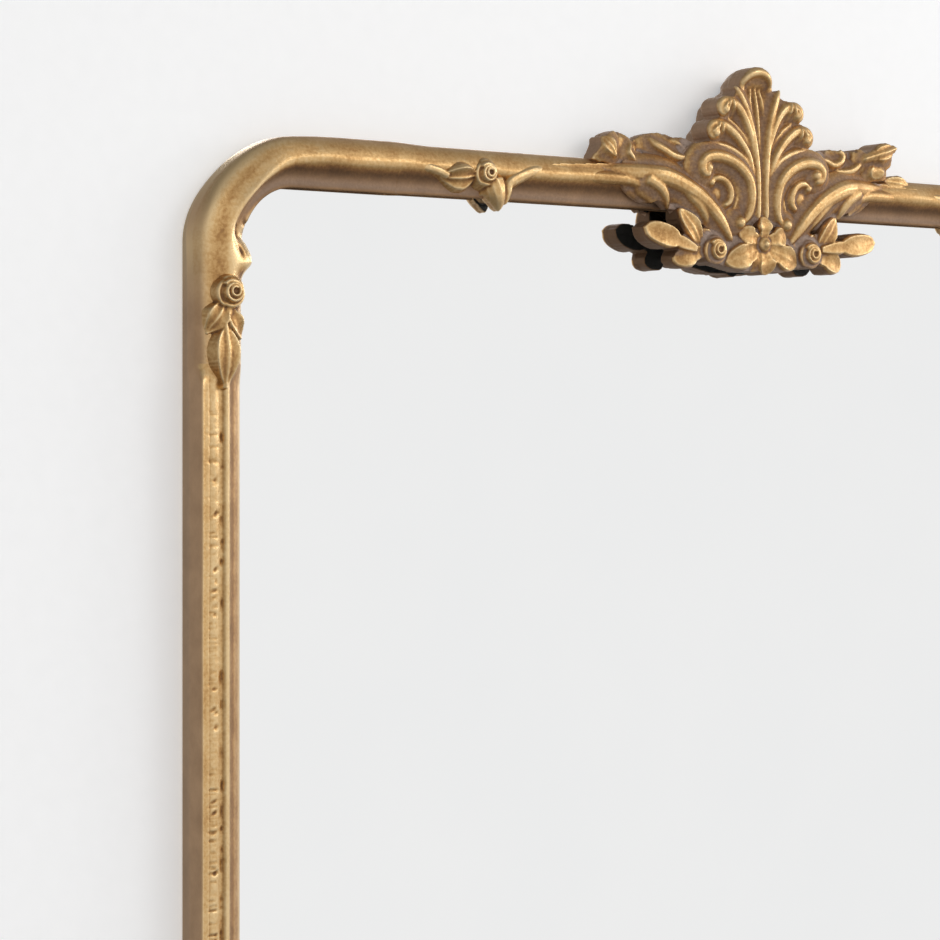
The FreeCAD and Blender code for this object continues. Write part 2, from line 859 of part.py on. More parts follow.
def make_saddle(screws):
    """The thick scalloped block that stands on the top rail and laps over its face."""
    back_y = -(s.rim_gap + s.saddle_back_gap)
    wide = s.saddle_half_width
    body = new_body("crest_saddle_blank")
    right = [(wide * across, s.crest_rise * up, wide * bow) for across, up, bow in SADDLE_SHARES]
    left = [(-x, z) for x, z, bow in reversed(right)]
    bows = [wide * SADDLE_TOP_BOW_SHARE] + [bow for x, z, bow in reversed(right)]
    points = [(-saddle_foot, -s.saddle_drop), (saddle_foot, -s.saddle_drop), *right]
    points.extend((*spot, bow) for spot, bow in zip(left, bows))
    sketch = closed_outline(new_sketch(body, "XZ_Plane", "crest_saddle_outline"), points)
    add_pad(body, sketch, back_y - crest_front_y)
    place(body, ZERO, (back_y + crest_front_y) / 2, frame_top)
    return cut("crest_saddle", body, [rail_envelope(), screws])


def garland_plate():
    """The winged plate that carries the garland below the saddle."""
    body = new_body("garland_plate")
    right = [
        (s.plate_half_width * across, -s.garland_drop * down) for across, down in PLATE_SHARES
    ]
    notch = s.saddle_half_width + s.ornament_gap
    right += [(notch, right[-1][1]), (notch, -s.saddle_drop)]
    left = [(-x, z) for x, z in reversed(right)]
    sketch = closed_outline(new_sketch(body, "XZ_Plane", "garland_plate_outline"), right + left)
    add_pad(body, sketch, s.plate_thickness)
    return place(body, ZERO, (ornament_back_y + crest_front_y) / 2, frame_top)


def flower(x, y, z):
    """A flower of long petals round a boss."""
    wide = s.petal_width
    pieces = [egg("flower_boss", (x, y, z), wide, wide, s.petal_height * 3, 0)]
    reach = s.petal_length * PETAL_REACH_SHARE
    for number in range(PETALS):
        lean = 360 / PETALS * number
        out = reach * math.sin(math.radians(lean))
        up = reach * math.cos(math.radians(lean))
        size = (s.petal_length, wide, s.petal_height * 2)
        pieces.append(egg(f"petal_{number}", (x + out, y, z + up), *size, lean))
    return pieces


def make_garland():
    """The plate with a flower, two roses and leaf sprigs on it."""
    relief_y = crest_front_y + s.relief_sink
    pieces = flower(ZERO, relief_y, frame_top - s.garland_drop * FLOWER_DROP_SHARE)
    rose_z = frame_top - s.garland_drop * GARLAND_ROSE_DROP_SHARE
    for side, word in ((-1, "left"), (1, "right")):
        rose_x = s.garland_rose_offset * side
        pieces += rose(f"garland_rose_{word}", rose_x, crest_front_y, rose_z, s.garland_rose_radius,
                       s.rose_height)
        for number, (outward, down, length, lean) in enumerate(SPRIG_SHARES):
            centre = (
                rose_x + s.leaf_length * outward * side,
                relief_y,
                frame_top - s.garland_drop * down,
            )
            size = (s.leaf_length * length, s.leaf_width * SPRIG_WIDTH_SHARE, s.leaf_height * 2)
            pieces.append(egg(f"sprig_{word}_{number}", centre, *size, lean * side))
    item = fuse("garland", [garland_plate(), relief("garland_relief", pieces, crest_front_y)])
    item.Label = "garland"
    return item


def make_palmette():
    """The fluted fan on the saddle, its lobes fanned from a root above the flower."""
    root_z = frame_top - s.palmette_root
    full = s.crest_rise + s.palmette_root
    pieces = []
    for across, up in PALMETTE_SHARES:
        tip_x = s.saddle_half_width * across
        tip_z = full * up
        lean = math.degrees(math.atan2(tip_x.value, tip_z.value))
        length = full * (math.hypot(tip_x.value, tip_z.value) / full.value * (1 - LOBE_REACH_SHARE) * 2)
        for side in ((1,) if across == 0 else (-1, 1)):
            centre = (
                tip_x * LOBE_REACH_SHARE * side,
                crest_front_y + s.relief_sink,
                root_z + tip_z * LOBE_REACH_SHARE,
            )
            size = (length, s.lobe_width, s.lobe_height * 2)
            pieces.append(egg(f"lobe_{len(pieces)}", centre, *size, lean * side))
    return relief("palmette", pieces, crest_front_y)


def make_scroll(name, side):
    """A C-scroll beside the fan and the acanthus arm below it, on the garland's plate."""
    relief_y = crest_front_y + s.relief_sink
    pieces = []
    for number, (across, up, length, width, lean) in enumerate(ARM_SHARES):
        centre = (
            s.plate_half_width * across * side,
            relief_y,
            frame_top + s.garland_drop * up,
        )
        size = (s.plate_half_width * length, s.arm_width * width, s.arm_height * 2)
        pieces.append(egg(f"{name}_arm_{number}", centre, *size, lean * side))
    curl = doc.addObject("Part::Torus", f"{name}_curl")
    bind(curl, "Radius1", s.scroll_radius)
    bind(curl, "Radius2", s.scroll_wire_radius)
    curl.Angle3 = CURL_ANGLE
    facing = turned(INTO_WALL, CURL_STARTS[name])
    curl_x = (s.saddle_half_width + s.scroll_wire_radius * 2) * side
    curl_z = frame_top - s.garland_drop * CURL_DROP_SHARE
    place(curl, curl_x, relief_y, curl_z, facing * turned(ACROSS, 90))
    pieces.append(curl)
    return relief(name, pieces, crest_front_y)


def make_foliage(name, side):
    """Leaves that stand on the flat top of the rail beside the saddle."""
    pieces = []
    middle_y = -(s.rim_gap + s.saddle_back_gap + s.foliage_depth / 2)
    inner = s.saddle_half_width + s.foliage_clearance
    span = s.crest_half_width - inner
    for number, (across, up, size_share, lean) in enumerate(FOLIAGE_SHARES):
        centre = (
            (inner + span * across) * side,
            middle_y,
            frame_top + s.foliage_height * up,
        )
        size = (s.foliage_height * size_share, span * FOLIAGE_WIDTH_SHARE, s.foliage_depth)
        pieces.append(egg(f"{name}_leaf_{number}", centre, *size, lean * side))
    reach = s.frame_width
    space = box(f"{name}_space", (-reach, reach), (-reach, reach), (frame_top, frame_top + reach))
    item = doc.addObject("Part::Common", name)
    item.Base = fuse(f"{name}_blank", pieces)
    item.Tool = space
    item.Label = name
    return item


def make_part():
    """Every node of the mirror, by name."""
    castings = make_frame_castings()
    pins = make_joint_pins()
    battens = make_battens()
    batten_screws = make_batten_screws()
    crest_screws = make_crest_screws()
    buttons, button_screws = make_turn_buttons()
    hangers = make_hangers()
    nodes = {
        "mirror_glass": rounded_sheet("mirror_glass", glass_front_y, glass_back_y),
        "backing_board": rounded_sheet("backing_board", glass_back_y, board_back_y),
        "joint_pins": pins,
        "batten_screws": batten_screws,
        "crest_screws": crest_screws,
        "button_screws": button_screws,
        "setting_blocks": make_setting_blocks(),
        "wall_bumpers": make_bumpers(),
        **buttons,
        **hangers,
        **make_tape(),
    }
    for name, blank in castings.items():
        screws = [crest_screws] if name == "top_rail" else []
        nodes[name] = cut(name, blank, [pins, batten_screws, *screws])
    for name, blank in battens.items():
        screws = [crest_screws] if name == "top_batten" else []
        hanger = [hangers["strap_screws"]] if name in ("left_batten", "right_batten") else []
        nodes[name] = cut(name, blank, [batten_screws, button_screws, *screws, *hanger])
    for height, end in (("top", 1), ("bottom", -1)):
        for word, side in (("left", -1), ("right", 1)):
            name = f"{height}_{word}_stile_sprig"
            nodes[name] = stile_sprig(name, side, end)
            name = f"{height}_{word}_rail_sprig"
            nodes[name] = rail_sprig(name, side, end)
    nodes["crest_saddle"] = make_saddle(crest_screws)
    nodes["garland"] = make_garland()
    nodes["palmette"] = make_palmette()
    for word, side in (("left", -1), ("right", 1)):
        nodes[f"{word}_scroll"] = make_scroll(f"{word}_scroll", side)
        nodes[f"{word}_foliage"] = make_foliage(f"{word}_foliage", side)
    return nodes


def check_part(nodes):
    """Stop on a failed feature or a broken solid."""
    for item in doc.Objects:
        if "Invalid" in item.State or "Error" in item.State:
            raise RuntimeError(f"{item.Label} did not compute: {item.getStatusString()}")
    for name, item in nodes.items():
        if item.Shape.isNull() or not item.Shape.isValid():
            raise RuntimeError(f"{name} has no valid solid")


def write_part(nodes):
    """Write one file for each node."""
    os.makedirs("parts", exist_ok=True)
    for name, item in nodes.items():
        item.Label = name
        item.Shape.exportStep(f"parts/{name}.step")
        print(name, len(item.Shape.Solids), round(item.Shape.Volume))


mirror = make_part()
doc.recompute()
check_part(mirror)
write_part(mirror)
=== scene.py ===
# %% [markdown]
# # A brass wall mirror, dressed for its portrait
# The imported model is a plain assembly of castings, glass and fittings. It stays as the fixed frame.
# This lesson models what shows in more detail, the mouldings, sprigs and crest, and gives every piece its finish.
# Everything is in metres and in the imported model's own frame: X runs right, Y into the wall, Z up.

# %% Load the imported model
import json
import math
import random

import bmesh
import bpy
import numpy as np
from mathutils import Matrix, Vector, noise
from mathutils.bvhtree import BVHTree

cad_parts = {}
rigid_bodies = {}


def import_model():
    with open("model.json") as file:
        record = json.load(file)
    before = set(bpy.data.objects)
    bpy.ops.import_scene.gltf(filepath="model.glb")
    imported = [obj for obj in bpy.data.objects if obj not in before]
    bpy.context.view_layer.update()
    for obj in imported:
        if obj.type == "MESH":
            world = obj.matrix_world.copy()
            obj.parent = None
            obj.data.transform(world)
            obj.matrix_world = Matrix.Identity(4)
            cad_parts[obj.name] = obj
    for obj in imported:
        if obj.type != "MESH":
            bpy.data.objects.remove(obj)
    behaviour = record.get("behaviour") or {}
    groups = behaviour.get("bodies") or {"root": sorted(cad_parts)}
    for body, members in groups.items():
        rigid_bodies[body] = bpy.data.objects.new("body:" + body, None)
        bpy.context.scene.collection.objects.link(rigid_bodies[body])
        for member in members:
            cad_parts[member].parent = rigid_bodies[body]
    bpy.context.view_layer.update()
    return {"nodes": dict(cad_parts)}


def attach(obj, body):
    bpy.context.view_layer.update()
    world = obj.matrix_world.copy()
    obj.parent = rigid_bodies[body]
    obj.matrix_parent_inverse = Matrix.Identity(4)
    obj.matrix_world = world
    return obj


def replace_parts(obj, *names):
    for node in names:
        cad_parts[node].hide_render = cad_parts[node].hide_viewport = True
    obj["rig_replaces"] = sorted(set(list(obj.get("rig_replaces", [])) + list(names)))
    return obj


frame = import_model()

nodes = frame["nodes"]
MM = 0.001

# %% [markdown]
# ## The camera
# The photograph looks at the upper left part of the mirror from the left, with upright lines kept upright.
# A tilted camera would make the stile lean, so the camera stays level and a small shift lowers the view.

# %% Camera at the photograph's viewing angle
PHOTO_WIDTH = 940
FOCAL_PIXELS = 2600
HORIZON_ABOVE_MIDDLE = 50
STANDPOINT = (-1412.5, -1588.5, 96.0)
TURNED_RIGHT = 36
scene = bpy.context.scene
scene.view_settings.view_transform = "Standard"


def add_object(name, data):
    """A new object in the scene."""
    made = bpy.data.objects.new(name, data)
    scene.collection.objects.link(made)
    return made


lens = bpy.data.cameras.new("photo_camera")
lens.sensor_width = 36
lens.lens = lens.sensor_width * FOCAL_PIXELS / PHOTO_WIDTH
lens.shift_y = -HORIZON_ABOVE_MIDDLE / PHOTO_WIDTH
camera = add_object("photo_camera", lens)
camera.location = Vector(STANDPOINT) * MM
camera.rotation_euler = (math.radians(90), 0, math.radians(-TURNED_RIGHT))
scene.camera = camera
print("camera lens", round(lens.lens, 2), "mm")

# %% [markdown]
# ## Node helpers
# A finish is a small graph of nodes. Every graph could be wired by hand, but the same few steps come back in
# each, so small helpers take them up: one starts a material with a principled shader, one adds a node and joins
# its inputs, and the others make ramps, ranges, blends, noise and bumps.

# %% Starting a finish and adding nodes
def new_finish(name):
    """An empty material with a principled shader joined to its output."""
    finish = bpy.data.materials.new(name)
    finish.use_nodes = True
    tree = finish.node_tree
    tree.nodes.clear()
    shader = tree.nodes.new("ShaderNodeBsdfPrincipled")
    output = tree.nodes.new("ShaderNodeOutputMaterial")
    tree.links.new(shader.outputs[0], output.inputs[0])
    return finish, tree, shader


def add_node(tree, kind, inputs=None, **settings):
    """A node of the given kind. An input is a socket to join or a plain value."""
    node = tree.nodes.new("ShaderNode" + kind)
    for key, value in settings.items():
        setattr(node, key, value)
    for key, value in (inputs or {}).items():
        if isinstance(value, bpy.types.NodeSocket):
            tree.links.new(value, node.inputs[key])
        else:
            node.inputs[key].default_value = value
    return node


print("first node helpers ready")

# %% Small graphs that the finishes share
def add_ramp(tree, socket, stops):
    """A colour ramp through (place, colour) stops."""
    node = add_node(tree, "ValToRGB", {0: socket})
    elements = node.color_ramp.elements
    for place, _ in stops[2:]:
        elements.new(place)
    for element, (place, colour) in zip(elements, stops):
        element.position = place
        element.color = (*colour, 1)
    return node.outputs[0]


def remap(tree, socket, low, high, to_low, to_high):
    """A value moved from one range to another and clamped there."""
    values = {0: socket, 1: low, 2: high, 3: to_low, 4: to_high}
    return add_node(tree, "MapRange", values, interpolation_type="SMOOTHSTEP").outputs[0]


def blend_colour(tree, share, low, high):
    """Two colours blended by a share."""
    return add_node(tree, "Mix", {0: share, 6: low, 7: high}, data_type="RGBA").outputs[2]


def reckon(tree, operation, first, second):
    """One value reckoned from two."""
    return add_node(tree, "Math", {0: first, 1: second}, operation=operation).outputs[0]


def object_noise(tree, scale, detail, rough=0.5, stretch=(1, 1, 1)):
    """Noise in object coordinates, with a scale in turns to the metre."""
    place = add_node(tree, "TexCoord").outputs["Object"]
    place = add_node(tree, "Mapping", {"Vector": place, "Scale": stretch}).outputs[0]
    values = {"Vector": place, "Scale": scale, "Detail": detail, "Roughness": rough}
    return add_node(tree, "TexNoise", values).outputs[0]


def own_value(tree, name):
    """A number that a piece carries at each of its points."""
    return add_node(tree, "Attribute", attribute_name=name).outputs["Fac"]


def add_bump(tree, shader, height, depth, strength):
    """A bump of the given depth in metres on the shader."""
    bump = add_node(tree, "Bump", {"Height": height, "Distance": depth, "Strength": strength})
    tree.links.new(bump.outputs[0], shader.inputs["Normal"])


def grain_colour(tree, shader, grain, low, high):
    """A base colour that wanders between two ends with a grain."""
    colour = add_ramp(tree, grain, [(0.3, low), (0.7, high)])
    tree.links.new(colour, shader.inputs["Base Color"])


def show_instead(tree, mixed):
    """Joins a mix of shaders to the output, in place of the plain shader."""
    output = next(node for node in tree.nodes if node.type == "OUTPUT_MATERIAL")
    tree.links.new(mixed, output.inputs[0])


def grey(level):
    """A neutral colour."""
    return (level, level, level)


print("node helpers ready")

# %% [markdown]
# ## Wall, floor and light
# The mirror hangs on a white wall in a bright room. A wall sheet that only shows its front lets the back of
# the mirror be seen from behind. The room is a soft glow, brightest towards the right and the viewer, which is
# what the glass shows in the photograph. It could light the castings alone, but they would look flat, so two
# lamps on the right give them highlights. A third stands behind the wall and lights the back.

# %% Sheets for the stage
STAGE_WIDTH = 9.0


def mesh_from(bm, name):
    """A mesh made from a bmesh, which is then freed."""
    mesh = bpy.data.meshes.new(name)
    bm.to_mesh(mesh)
    bm.free()
    return mesh


def stage_sheet(name, place, turn, finish):
    """A flat sheet of the stage, turned and put in place."""
    bm = bmesh.new()
    bmesh.ops.create_grid(bm, x_segments=1, y_segments=1, size=STAGE_WIDTH / 2)
    tilt = Matrix.Rotation(math.radians(turn), 3, "X")
    bmesh.ops.rotate(bm, verts=bm.verts, cent=(0, 0, 0), matrix=tilt)
    bmesh.ops.translate(bm, verts=bm.verts, vec=place)
    mesh = mesh_from(bm, name)
    mesh.materials.append(finish)
    add_object(name, mesh)
    print("stage sheet", name)


print("stage sheets are", STAGE_WIDTH, "m wide")

# %% The wall, which shows from the front only
WALL_GLOW = 0.345
wall_paint, tree, shader = new_finish("wall_paint")
grain_colour(tree, shader, object_noise(tree, scale=90, detail=4), grey(0.84), grey(0.87))
shader.inputs["Roughness"].default_value = 0.9
shader.inputs["Specular IOR Level"].default_value = 0.1
pale = add_node(tree, "Emission", {"Color": (*grey(WALL_GLOW), 1), "Strength": 1.0}).outputs[0]
lit = add_node(tree, "AddShader", {0: shader.outputs[0], 1: pale}).outputs[0]
seen = add_node(tree, "LightPath").outputs["Is Camera Ray"]
front = reckon(tree, "SUBTRACT", seen, add_node(tree, "NewGeometry").outputs["Backfacing"])
clear = add_node(tree, "BsdfTransparent").outputs[0]
show_instead(tree, add_node(tree, "MixShader", {0: front, 1: clear, 2: lit}).outputs[0])
stage_sheet("wall", place=(0, 0.001, 1.5), turn=90, finish=wall_paint)

# %% The floor, which the mirror doesn't show
floor_paint, tree, shader = new_finish("floor_paint")
grain_colour(tree, shader, object_noise(tree, scale=40, detail=3), grey(0.74), grey(0.78))
shader.inputs["Roughness"].default_value = 0.8
clear = add_node(tree, "BsdfTransparent").outputs[0]
mirrored = add_node(tree, "LightPath").outputs["Is Glossy Ray"]
show_instead(tree, add_node(tree, "MixShader", {0: mirrored, 1: shader.outputs[0], 2: clear}).outputs[0])
stage_sheet("floor", place=(0, -2.0, -1.25), turn=0, finish=floor_paint)

# %% A soft room
world = bpy.data.worlds.new("room")
scene.world = world
world.use_nodes = True
tree = world.node_tree
tree.nodes.clear()
aim = add_node(tree, "TexCoord").outputs["Generated"]
bright_side = Vector((0.62, -0.76, 0.18)).normalized()
facing = add_node(tree, "VectorMath", {0: aim, 1: bright_side}, operation="DOT_PRODUCT").outputs["Value"]
height = add_node(tree, "SeparateXYZ", {0: aim}).outputs["Z"]
# Brightest towards the right and the viewer, dimmer overhead and underfoot
glow = remap(tree, facing, -0.30, 0.80, 0.47, 0.87)
glow = reckon(tree, "MULTIPLY", glow, remap(tree, height, 0.25, 0.80, 1.0, 0.48))
glow = reckon(tree, "MULTIPLY", glow, remap(tree, height, -0.75, -0.26, 0.40, 1.0))
room = add_node(tree, "Background", {"Color": (1, 1, 1, 1), "Strength": glow}).outputs[0]
plain = add_node(tree, "Background", {"Color": (0.90, 0.90, 0.90, 1), "Strength": 1.0}).outputs[0]
seen = add_node(tree, "LightPath").outputs["Is Camera Ray"]
either = add_node(tree, "MixShader", {0: seen, 1: room, 2: plain}).outputs[0]
tree.links.new(either, add_node(tree, "OutputWorld").inputs[0])
print("room", world.name, "with", len(tree.nodes), "nodes")

# %% Three lamps
def area_lamp(name, place, aim_at, size, power):
    """A square lamp that looks at a point."""
    lamp = bpy.data.lights.new(name, "AREA")
    lamp.energy = power
    lamp.size = size
    holder = add_object(name, lamp)
    holder.location = place
    holder.rotation_euler = (Vector(aim_at) - Vector(place)).to_track_quat("-Z", "Y").to_euler()


area_lamp("key_lamp", (1.5, -2.3, 1.7), (-0.1, 0, 0.1), size=1.2, power=10)
area_lamp("window_lamp", (2.6, -1.0, 0.7), (-0.2, 0, 0.2), size=0.9, power=10)
area_lamp("back_lamp", (1.2, 2.6, 1.0), (0, 0, -0.2), size=1.5, power=24)

# %% [markdown]
# ## Antique brass
# The castings were browned all over and then rubbed, so the metal is bright where a hand or a wheel reaches and
# dark in the hollows. A piece carries four numbers at each point: how far it stands proud of the surface round it,
# how much brown film or grey-brown ash is left on it, and whether it faces the wall. On the rails and bends the
# first three also carry painted light: painted shade in the cove and at the lip, a painted highlight along the
# ridge of the bend and down the leg, and a painted grey strip of light bounced from the glass low in the cove.

# %% The brass finish
def make_brass():
    """Brass that darkens in the hollows, under film and ash where a piece says so, and takes the painted shade and
    painted highlights that a piece carries.
    """
    finish, tree, shader = new_finish("antique_brass")
    fine = object_noise(tree, scale=420, detail=3, rough=0.55)
    cloud = object_noise(tree, scale=48, detail=4, rough=0.6)
    rub_and_painted_light = own_value(tree, "rub_and_painted_light")
    film_and_painted_shade = own_value(tree, "film_and_painted_shade")
    ash_and_painted_bounce_light = own_value(tree, "ash_and_painted_bounce_light")
    back = own_value(tree, "back")
    level = reckon(tree, "ADD", rub_and_painted_light, remap(tree, fine, 0.25, 0.75, -0.12, 0.12))
    level = reckon(tree, "ADD", level, remap(tree, cloud, 0.3, 0.7, -0.10, 0.10))
    level = remap(tree, level, -1.0, 1.0, 0.0, 1.0)
    metal = add_ramp(tree, level, [
        (0.0, (0.12, 0.060, 0.027)),
        (0.25, (0.30, 0.148, 0.054)),
        (0.42, (0.50, 0.275, 0.100)),
        (0.58, (0.66, 0.415, 0.178)),
        (0.85, (0.84, 0.610, 0.325)),
    ])
    brown = add_ramp(tree, cloud, [(0.3, (0.47, 0.280, 0.148)), (0.7, (0.61, 0.378, 0.205))])
    taupe = add_ramp(tree, fine, [(0.3, (0.40, 0.298, 0.240)), (0.7, (0.56, 0.434, 0.362))])
    colour = blend_colour(tree, film_and_painted_shade, metal, brown)
    colour = blend_colour(tree, ash_and_painted_bounce_light, colour, taupe)
    colour = blend_colour(tree, back, colour, (0.030, 0.028, 0.024, 1))
    tree.links.new(colour, shader.inputs["Base Color"])
    dull = reckon(tree, "MAXIMUM", film_and_painted_shade, ash_and_painted_bounce_light)
    rough = remap(tree, level, 0.15, 0.80, 0.55, 0.31)
    rough = reckon(tree, "ADD", rough, remap(tree, dull, 0, 1, 0.0, 0.12))
    tree.links.new(rough, shader.inputs["Roughness"])
    bright = remap(tree, level, 0.15, 0.6, 0.6, 0.95)
    bright = reckon(tree, "MULTIPLY", bright, remap(tree, dull, 0, 1, 1.0, 0.55))
    tree.links.new(bright, shader.inputs["Metallic"])
    pitted = object_noise(tree, scale=420, detail=5, rough=0.65)
    add_bump(tree, shader, pitted, depth=0.0004, strength=0.45)
    return finish


brass = make_brass()
print("finish", brass.name)

# %% [markdown]
# ## How a casting is modelled
# A foundry pattern is carved from many strokes: ribs, leaves, petals and balls laid over each other. The same
# is done here. Each stroke is a grid rolled into a tapered rope or cupped into a leaf, and all the strokes of a
# casting are then remeshed into one skin, as the mould would make them. Boolean unions would give sharp seams
# where strokes meet, and a remesh softens these as cast metal does.

# %% Lines through points
def smooth_line(points, count):
    """Evenly many points on a smooth line through the given ones, all their numbers included."""
    p = np.array(points, float)
    p = np.vstack([2 * p[0] - p[1], p, 2 * p[-1] - p[-2]])
    spans = len(p) - 3
    at = np.linspace(0, spans, count)
    i = np.minimum(at.astype(int), spans - 1)
    t = (at - i)[:, None]
    a, b, c, d = p[i], p[i + 1], p[i + 2], p[i + 3]
    return 0.5 * (2 * b + (c - a) * t + (2 * a - 5 * b + 4 * c - d) * t ** 2
                  + (3 * b - a - 3 * c + d) * t ** 3)


def unit(v):
    """Rows scaled to length one."""
    return v / np.maximum(np.linalg.norm(v, axis=-1, keepdims=True), 1e-9)


def shaped_grid(bm, places):
    """A grid whose points go to the given rows of places."""
    rows, columns = places.shape[:2]
    made = bmesh.ops.create_grid(bm, x_segments=columns - 1, y_segments=rows - 1, size=1.0)["verts"]
    for vert, place in zip(made, places.reshape(-1, 3)):
        vert.co = place
    return made


print("line helper", smooth_line([(0, 0), (1, 1), (2, 0)], 3).round(2).tolist())

# %% Ropes
TOWARDS_VIEWER = np.array((0.0, -1.0, 0.0))
UPWARDS = np.array((0.0, 0.0, 1.0))


def rope(bm, points, flat=1.0, sides=12, facing=TOWARDS_VIEWER):
    """A rolled stroke through points of x, y, z and radius. Its ends close to a tip."""
    count = max(10, 7 * len(points))
    line = smooth_line(points, count)
    centre, radius = line[:, :3], np.maximum(line[:, 3], 0.05)
    way = unit(np.gradient(centre, axis=0))
    across = unit(np.cross(way, facing))
    up = np.cross(across, way)
    ends = np.ones(count)
    ends[0] = ends[-1] = 0.0
    ends[1] = ends[-2] = 0.75
    turn = np.linspace(0, 2 * math.pi, sides + 1)
    reach = (radius * ends)[:, None, None]
    ring = (np.cos(turn)[None, :, None] * across[:, None, :]
            + flat * np.sin(turn)[None, :, None] * up[:, None, :])
    verts = shaped_grid(bm, (centre[:, None, :] + reach * ring) * MM)
    bmesh.ops.remove_doubles(bm, verts=verts, dist=1e-7)


print("ropes ready")

# %% Leaves
def leaf(bm, base, tip, width, thick, arch, cup, rib=0.0, blunt=0.0, facing=TOWARDS_VIEWER, fold=0.0):
    """A leaf from base to tip. It arches along its length, is cupped across, and may have a raised rib."""
    base, tip = np.array(base, float), np.array(tip, float)
    along = tip - base
    across = unit(np.cross(along, np.array(facing, float))[None])[0]
    up = unit(np.cross(across, along)[None])[0]
    s = np.linspace(0, 1, 17)[:, None]
    t = np.linspace(-1, 1, 11)[None, :]
    pointed = np.sin(math.pi * s ** 0.8) ** 0.85
    blade = np.sqrt(np.clip(1 - (np.abs(s - 0.68) / 0.325) ** 2.4, 0, 1))
    paddle = np.maximum(blade, 0.52 * (1 - 0.35 * np.abs(s - 0.3) / 0.3))
    half = width / 2 * ((1 - blunt) * pointed + blunt * paddle)
    half = np.maximum(half, 0.25)
    lift = (arch * np.sin(math.pi * s) + cup * (t ** 2) * np.minimum(1, half / (width / 2))
            + rib * np.exp(-(t / 0.16) ** 2))
    lift = lift * (0.25 + 0.75 * np.minimum(1, 2 * half / width)) + fold * t
    places = base + s[..., None] * along + (half * t)[..., None] * across + lift[..., None] * up
    front = shaped_grid(bm, places * MM)
    faces = list({f for v in front for f in v.link_faces})
    bmesh.ops.recalc_face_normals(bm, faces=faces)
    bmesh.ops.solidify(bm, geom=faces, thickness=thick * MM)


print("leaves ready")

# %% Eggs and slabs
RAIL_TOP = 300.0


def ball(bm, centre, size, turn=0.0):
    """An egg with three radii, turned about the line of sight."""
    shape = Matrix.Translation(Vector(centre) * MM) @ Matrix.Rotation(math.radians(turn), 4, "Y")
    shape = shape @ Matrix.Diagonal((*(Vector(size) * MM), 1.0))
    bmesh.ops.create_uvsphere(bm, u_segments=20, v_segments=12, radius=1.0, matrix=shape)


def push_back(bm, faces, back):
    """Extrudes faces to a flat back at a depth in millimetres."""
    pushed = bmesh.ops.extrude_face_region(bm, geom=faces, use_keep_orig=True)["geom"]
    for item in pushed:
        if isinstance(item, bmesh.types.BMVert):
            item.co.y = back * MM


def slab(bm, outline, front, back, lean=0.0):
    """A flat piece with an outline of x and z between two depths. Its front may lean back above the rail."""
    verts = [bm.verts.new(Vector((x, front + lean * (z - RAIL_TOP), z)) * MM) for x, z in outline]
    face = bm.faces.new(verts)
    push_back(bm, [face], back)


print("strokes ready")

# %% [markdown]
# ## Skin and wear
# The strokes of a casting become one skin by a voxel remesh and a few rounds of smoothing. What a hand would rub
# bright could be painted point by point. It is found here instead: the skin is compared with a twin that was
# smoothed much more, and what stands in front of that twin stands proud.

# %% One skin round the strokes
def add_iron(obj, rounds):
    """A smoothing modifier with a number of rounds."""
    iron = obj.modifiers.new("iron", "SMOOTH")
    iron.factor = 0.5
    iron.iterations = rounds


def baked(obj):
    """A plain mesh of an object with its modifiers applied."""
    sight = bpy.context.evaluated_depsgraph_get()
    return bpy.data.meshes.new_from_object(obj.evaluated_get(sight))


def cast_skin(bm, voxel, rounds):
    """One skin round all the strokes of a casting."""
    bmesh.ops.recalc_face_normals(bm, faces=bm.faces)
    mesh = mesh_from(bm, "strokes")
    pattern = add_object("pattern", mesh)
    remesh = pattern.modifiers.new("mould", "REMESH")
    remesh.mode = "VOXEL"
    remesh.voxel_size = voxel * MM
    add_iron(pattern, rounds)
    skin = baked(pattern)
    bpy.data.objects.remove(pattern)
    bpy.data.meshes.remove(mesh)
    return skin


print("skin helper ready")

# %% Wear on a skin
END_ROWS = 4


def surface(mesh):
    """The points of a mesh and their normals, as rows."""
    sets = []
    for source, key in ((mesh.vertices, "co"), (mesh.vertex_normals, "vector")):
        flat = np.zeros(len(mesh.vertices) * 3, np.float32)
        source.foreach_get(key, flat)
        sets.append(flat.reshape(-1, 3))
    return sets


def wear(mesh, proud, rounds, film_and_painted_shade=0.0, ash_and_painted_bounce_light=0.0, dulling_and_painted_light=0.0, rows=0):
    """Stores at each point what stands proud, less the dulling, painted shade and painted highlight it is given,
    with its film and ash, which on the rails carry painted shade and painted bounce light too. The ends of a
    moulding, whose rows are counted, take the values of the rows next to them."""
    twin = add_object("twin", mesh)
    add_iron(twin, rounds)
    smoothed = baked(twin)
    here, normal = surface(mesh)
    rise = ((here - surface(smoothed)[0]) * normal).sum(1) / (proud * MM)
    bpy.data.objects.remove(twin)
    bpy.data.meshes.remove(smoothed)
    none = np.zeros(len(here))
    values = {
        # The first number is what stands proud, less the dulling, painted shade and painted highlight a piece is
        # given
        "rub_and_painted_light": np.clip(rise, -1, 1) - dulling_and_painted_light,
        "back": np.clip((normal[:, 1] - 0.75) * 5, 0, 1),
        "film_and_painted_shade": np.clip(none + film_and_painted_shade, 0, 1),
        "ash_and_painted_bounce_light": np.clip(none + ash_and_painted_bounce_light, 0, 1),
    }
    for name, value in values.items():
        value = np.clip(value, -1, 1)
        if rows:
            grid = value.reshape(rows, -1)
            grid[:END_ROWS], grid[-END_ROWS:] = grid[END_ROWS], grid[-END_ROWS - 1]
        stored = mesh.attributes.new(name, "FLOAT", "POINT")
        stored.data.foreach_set("value", value.astype(np.float32))


print("wear helper ready")

# %% A finished piece and its mirror images
MIDDLE_HEIGHT = -295.0


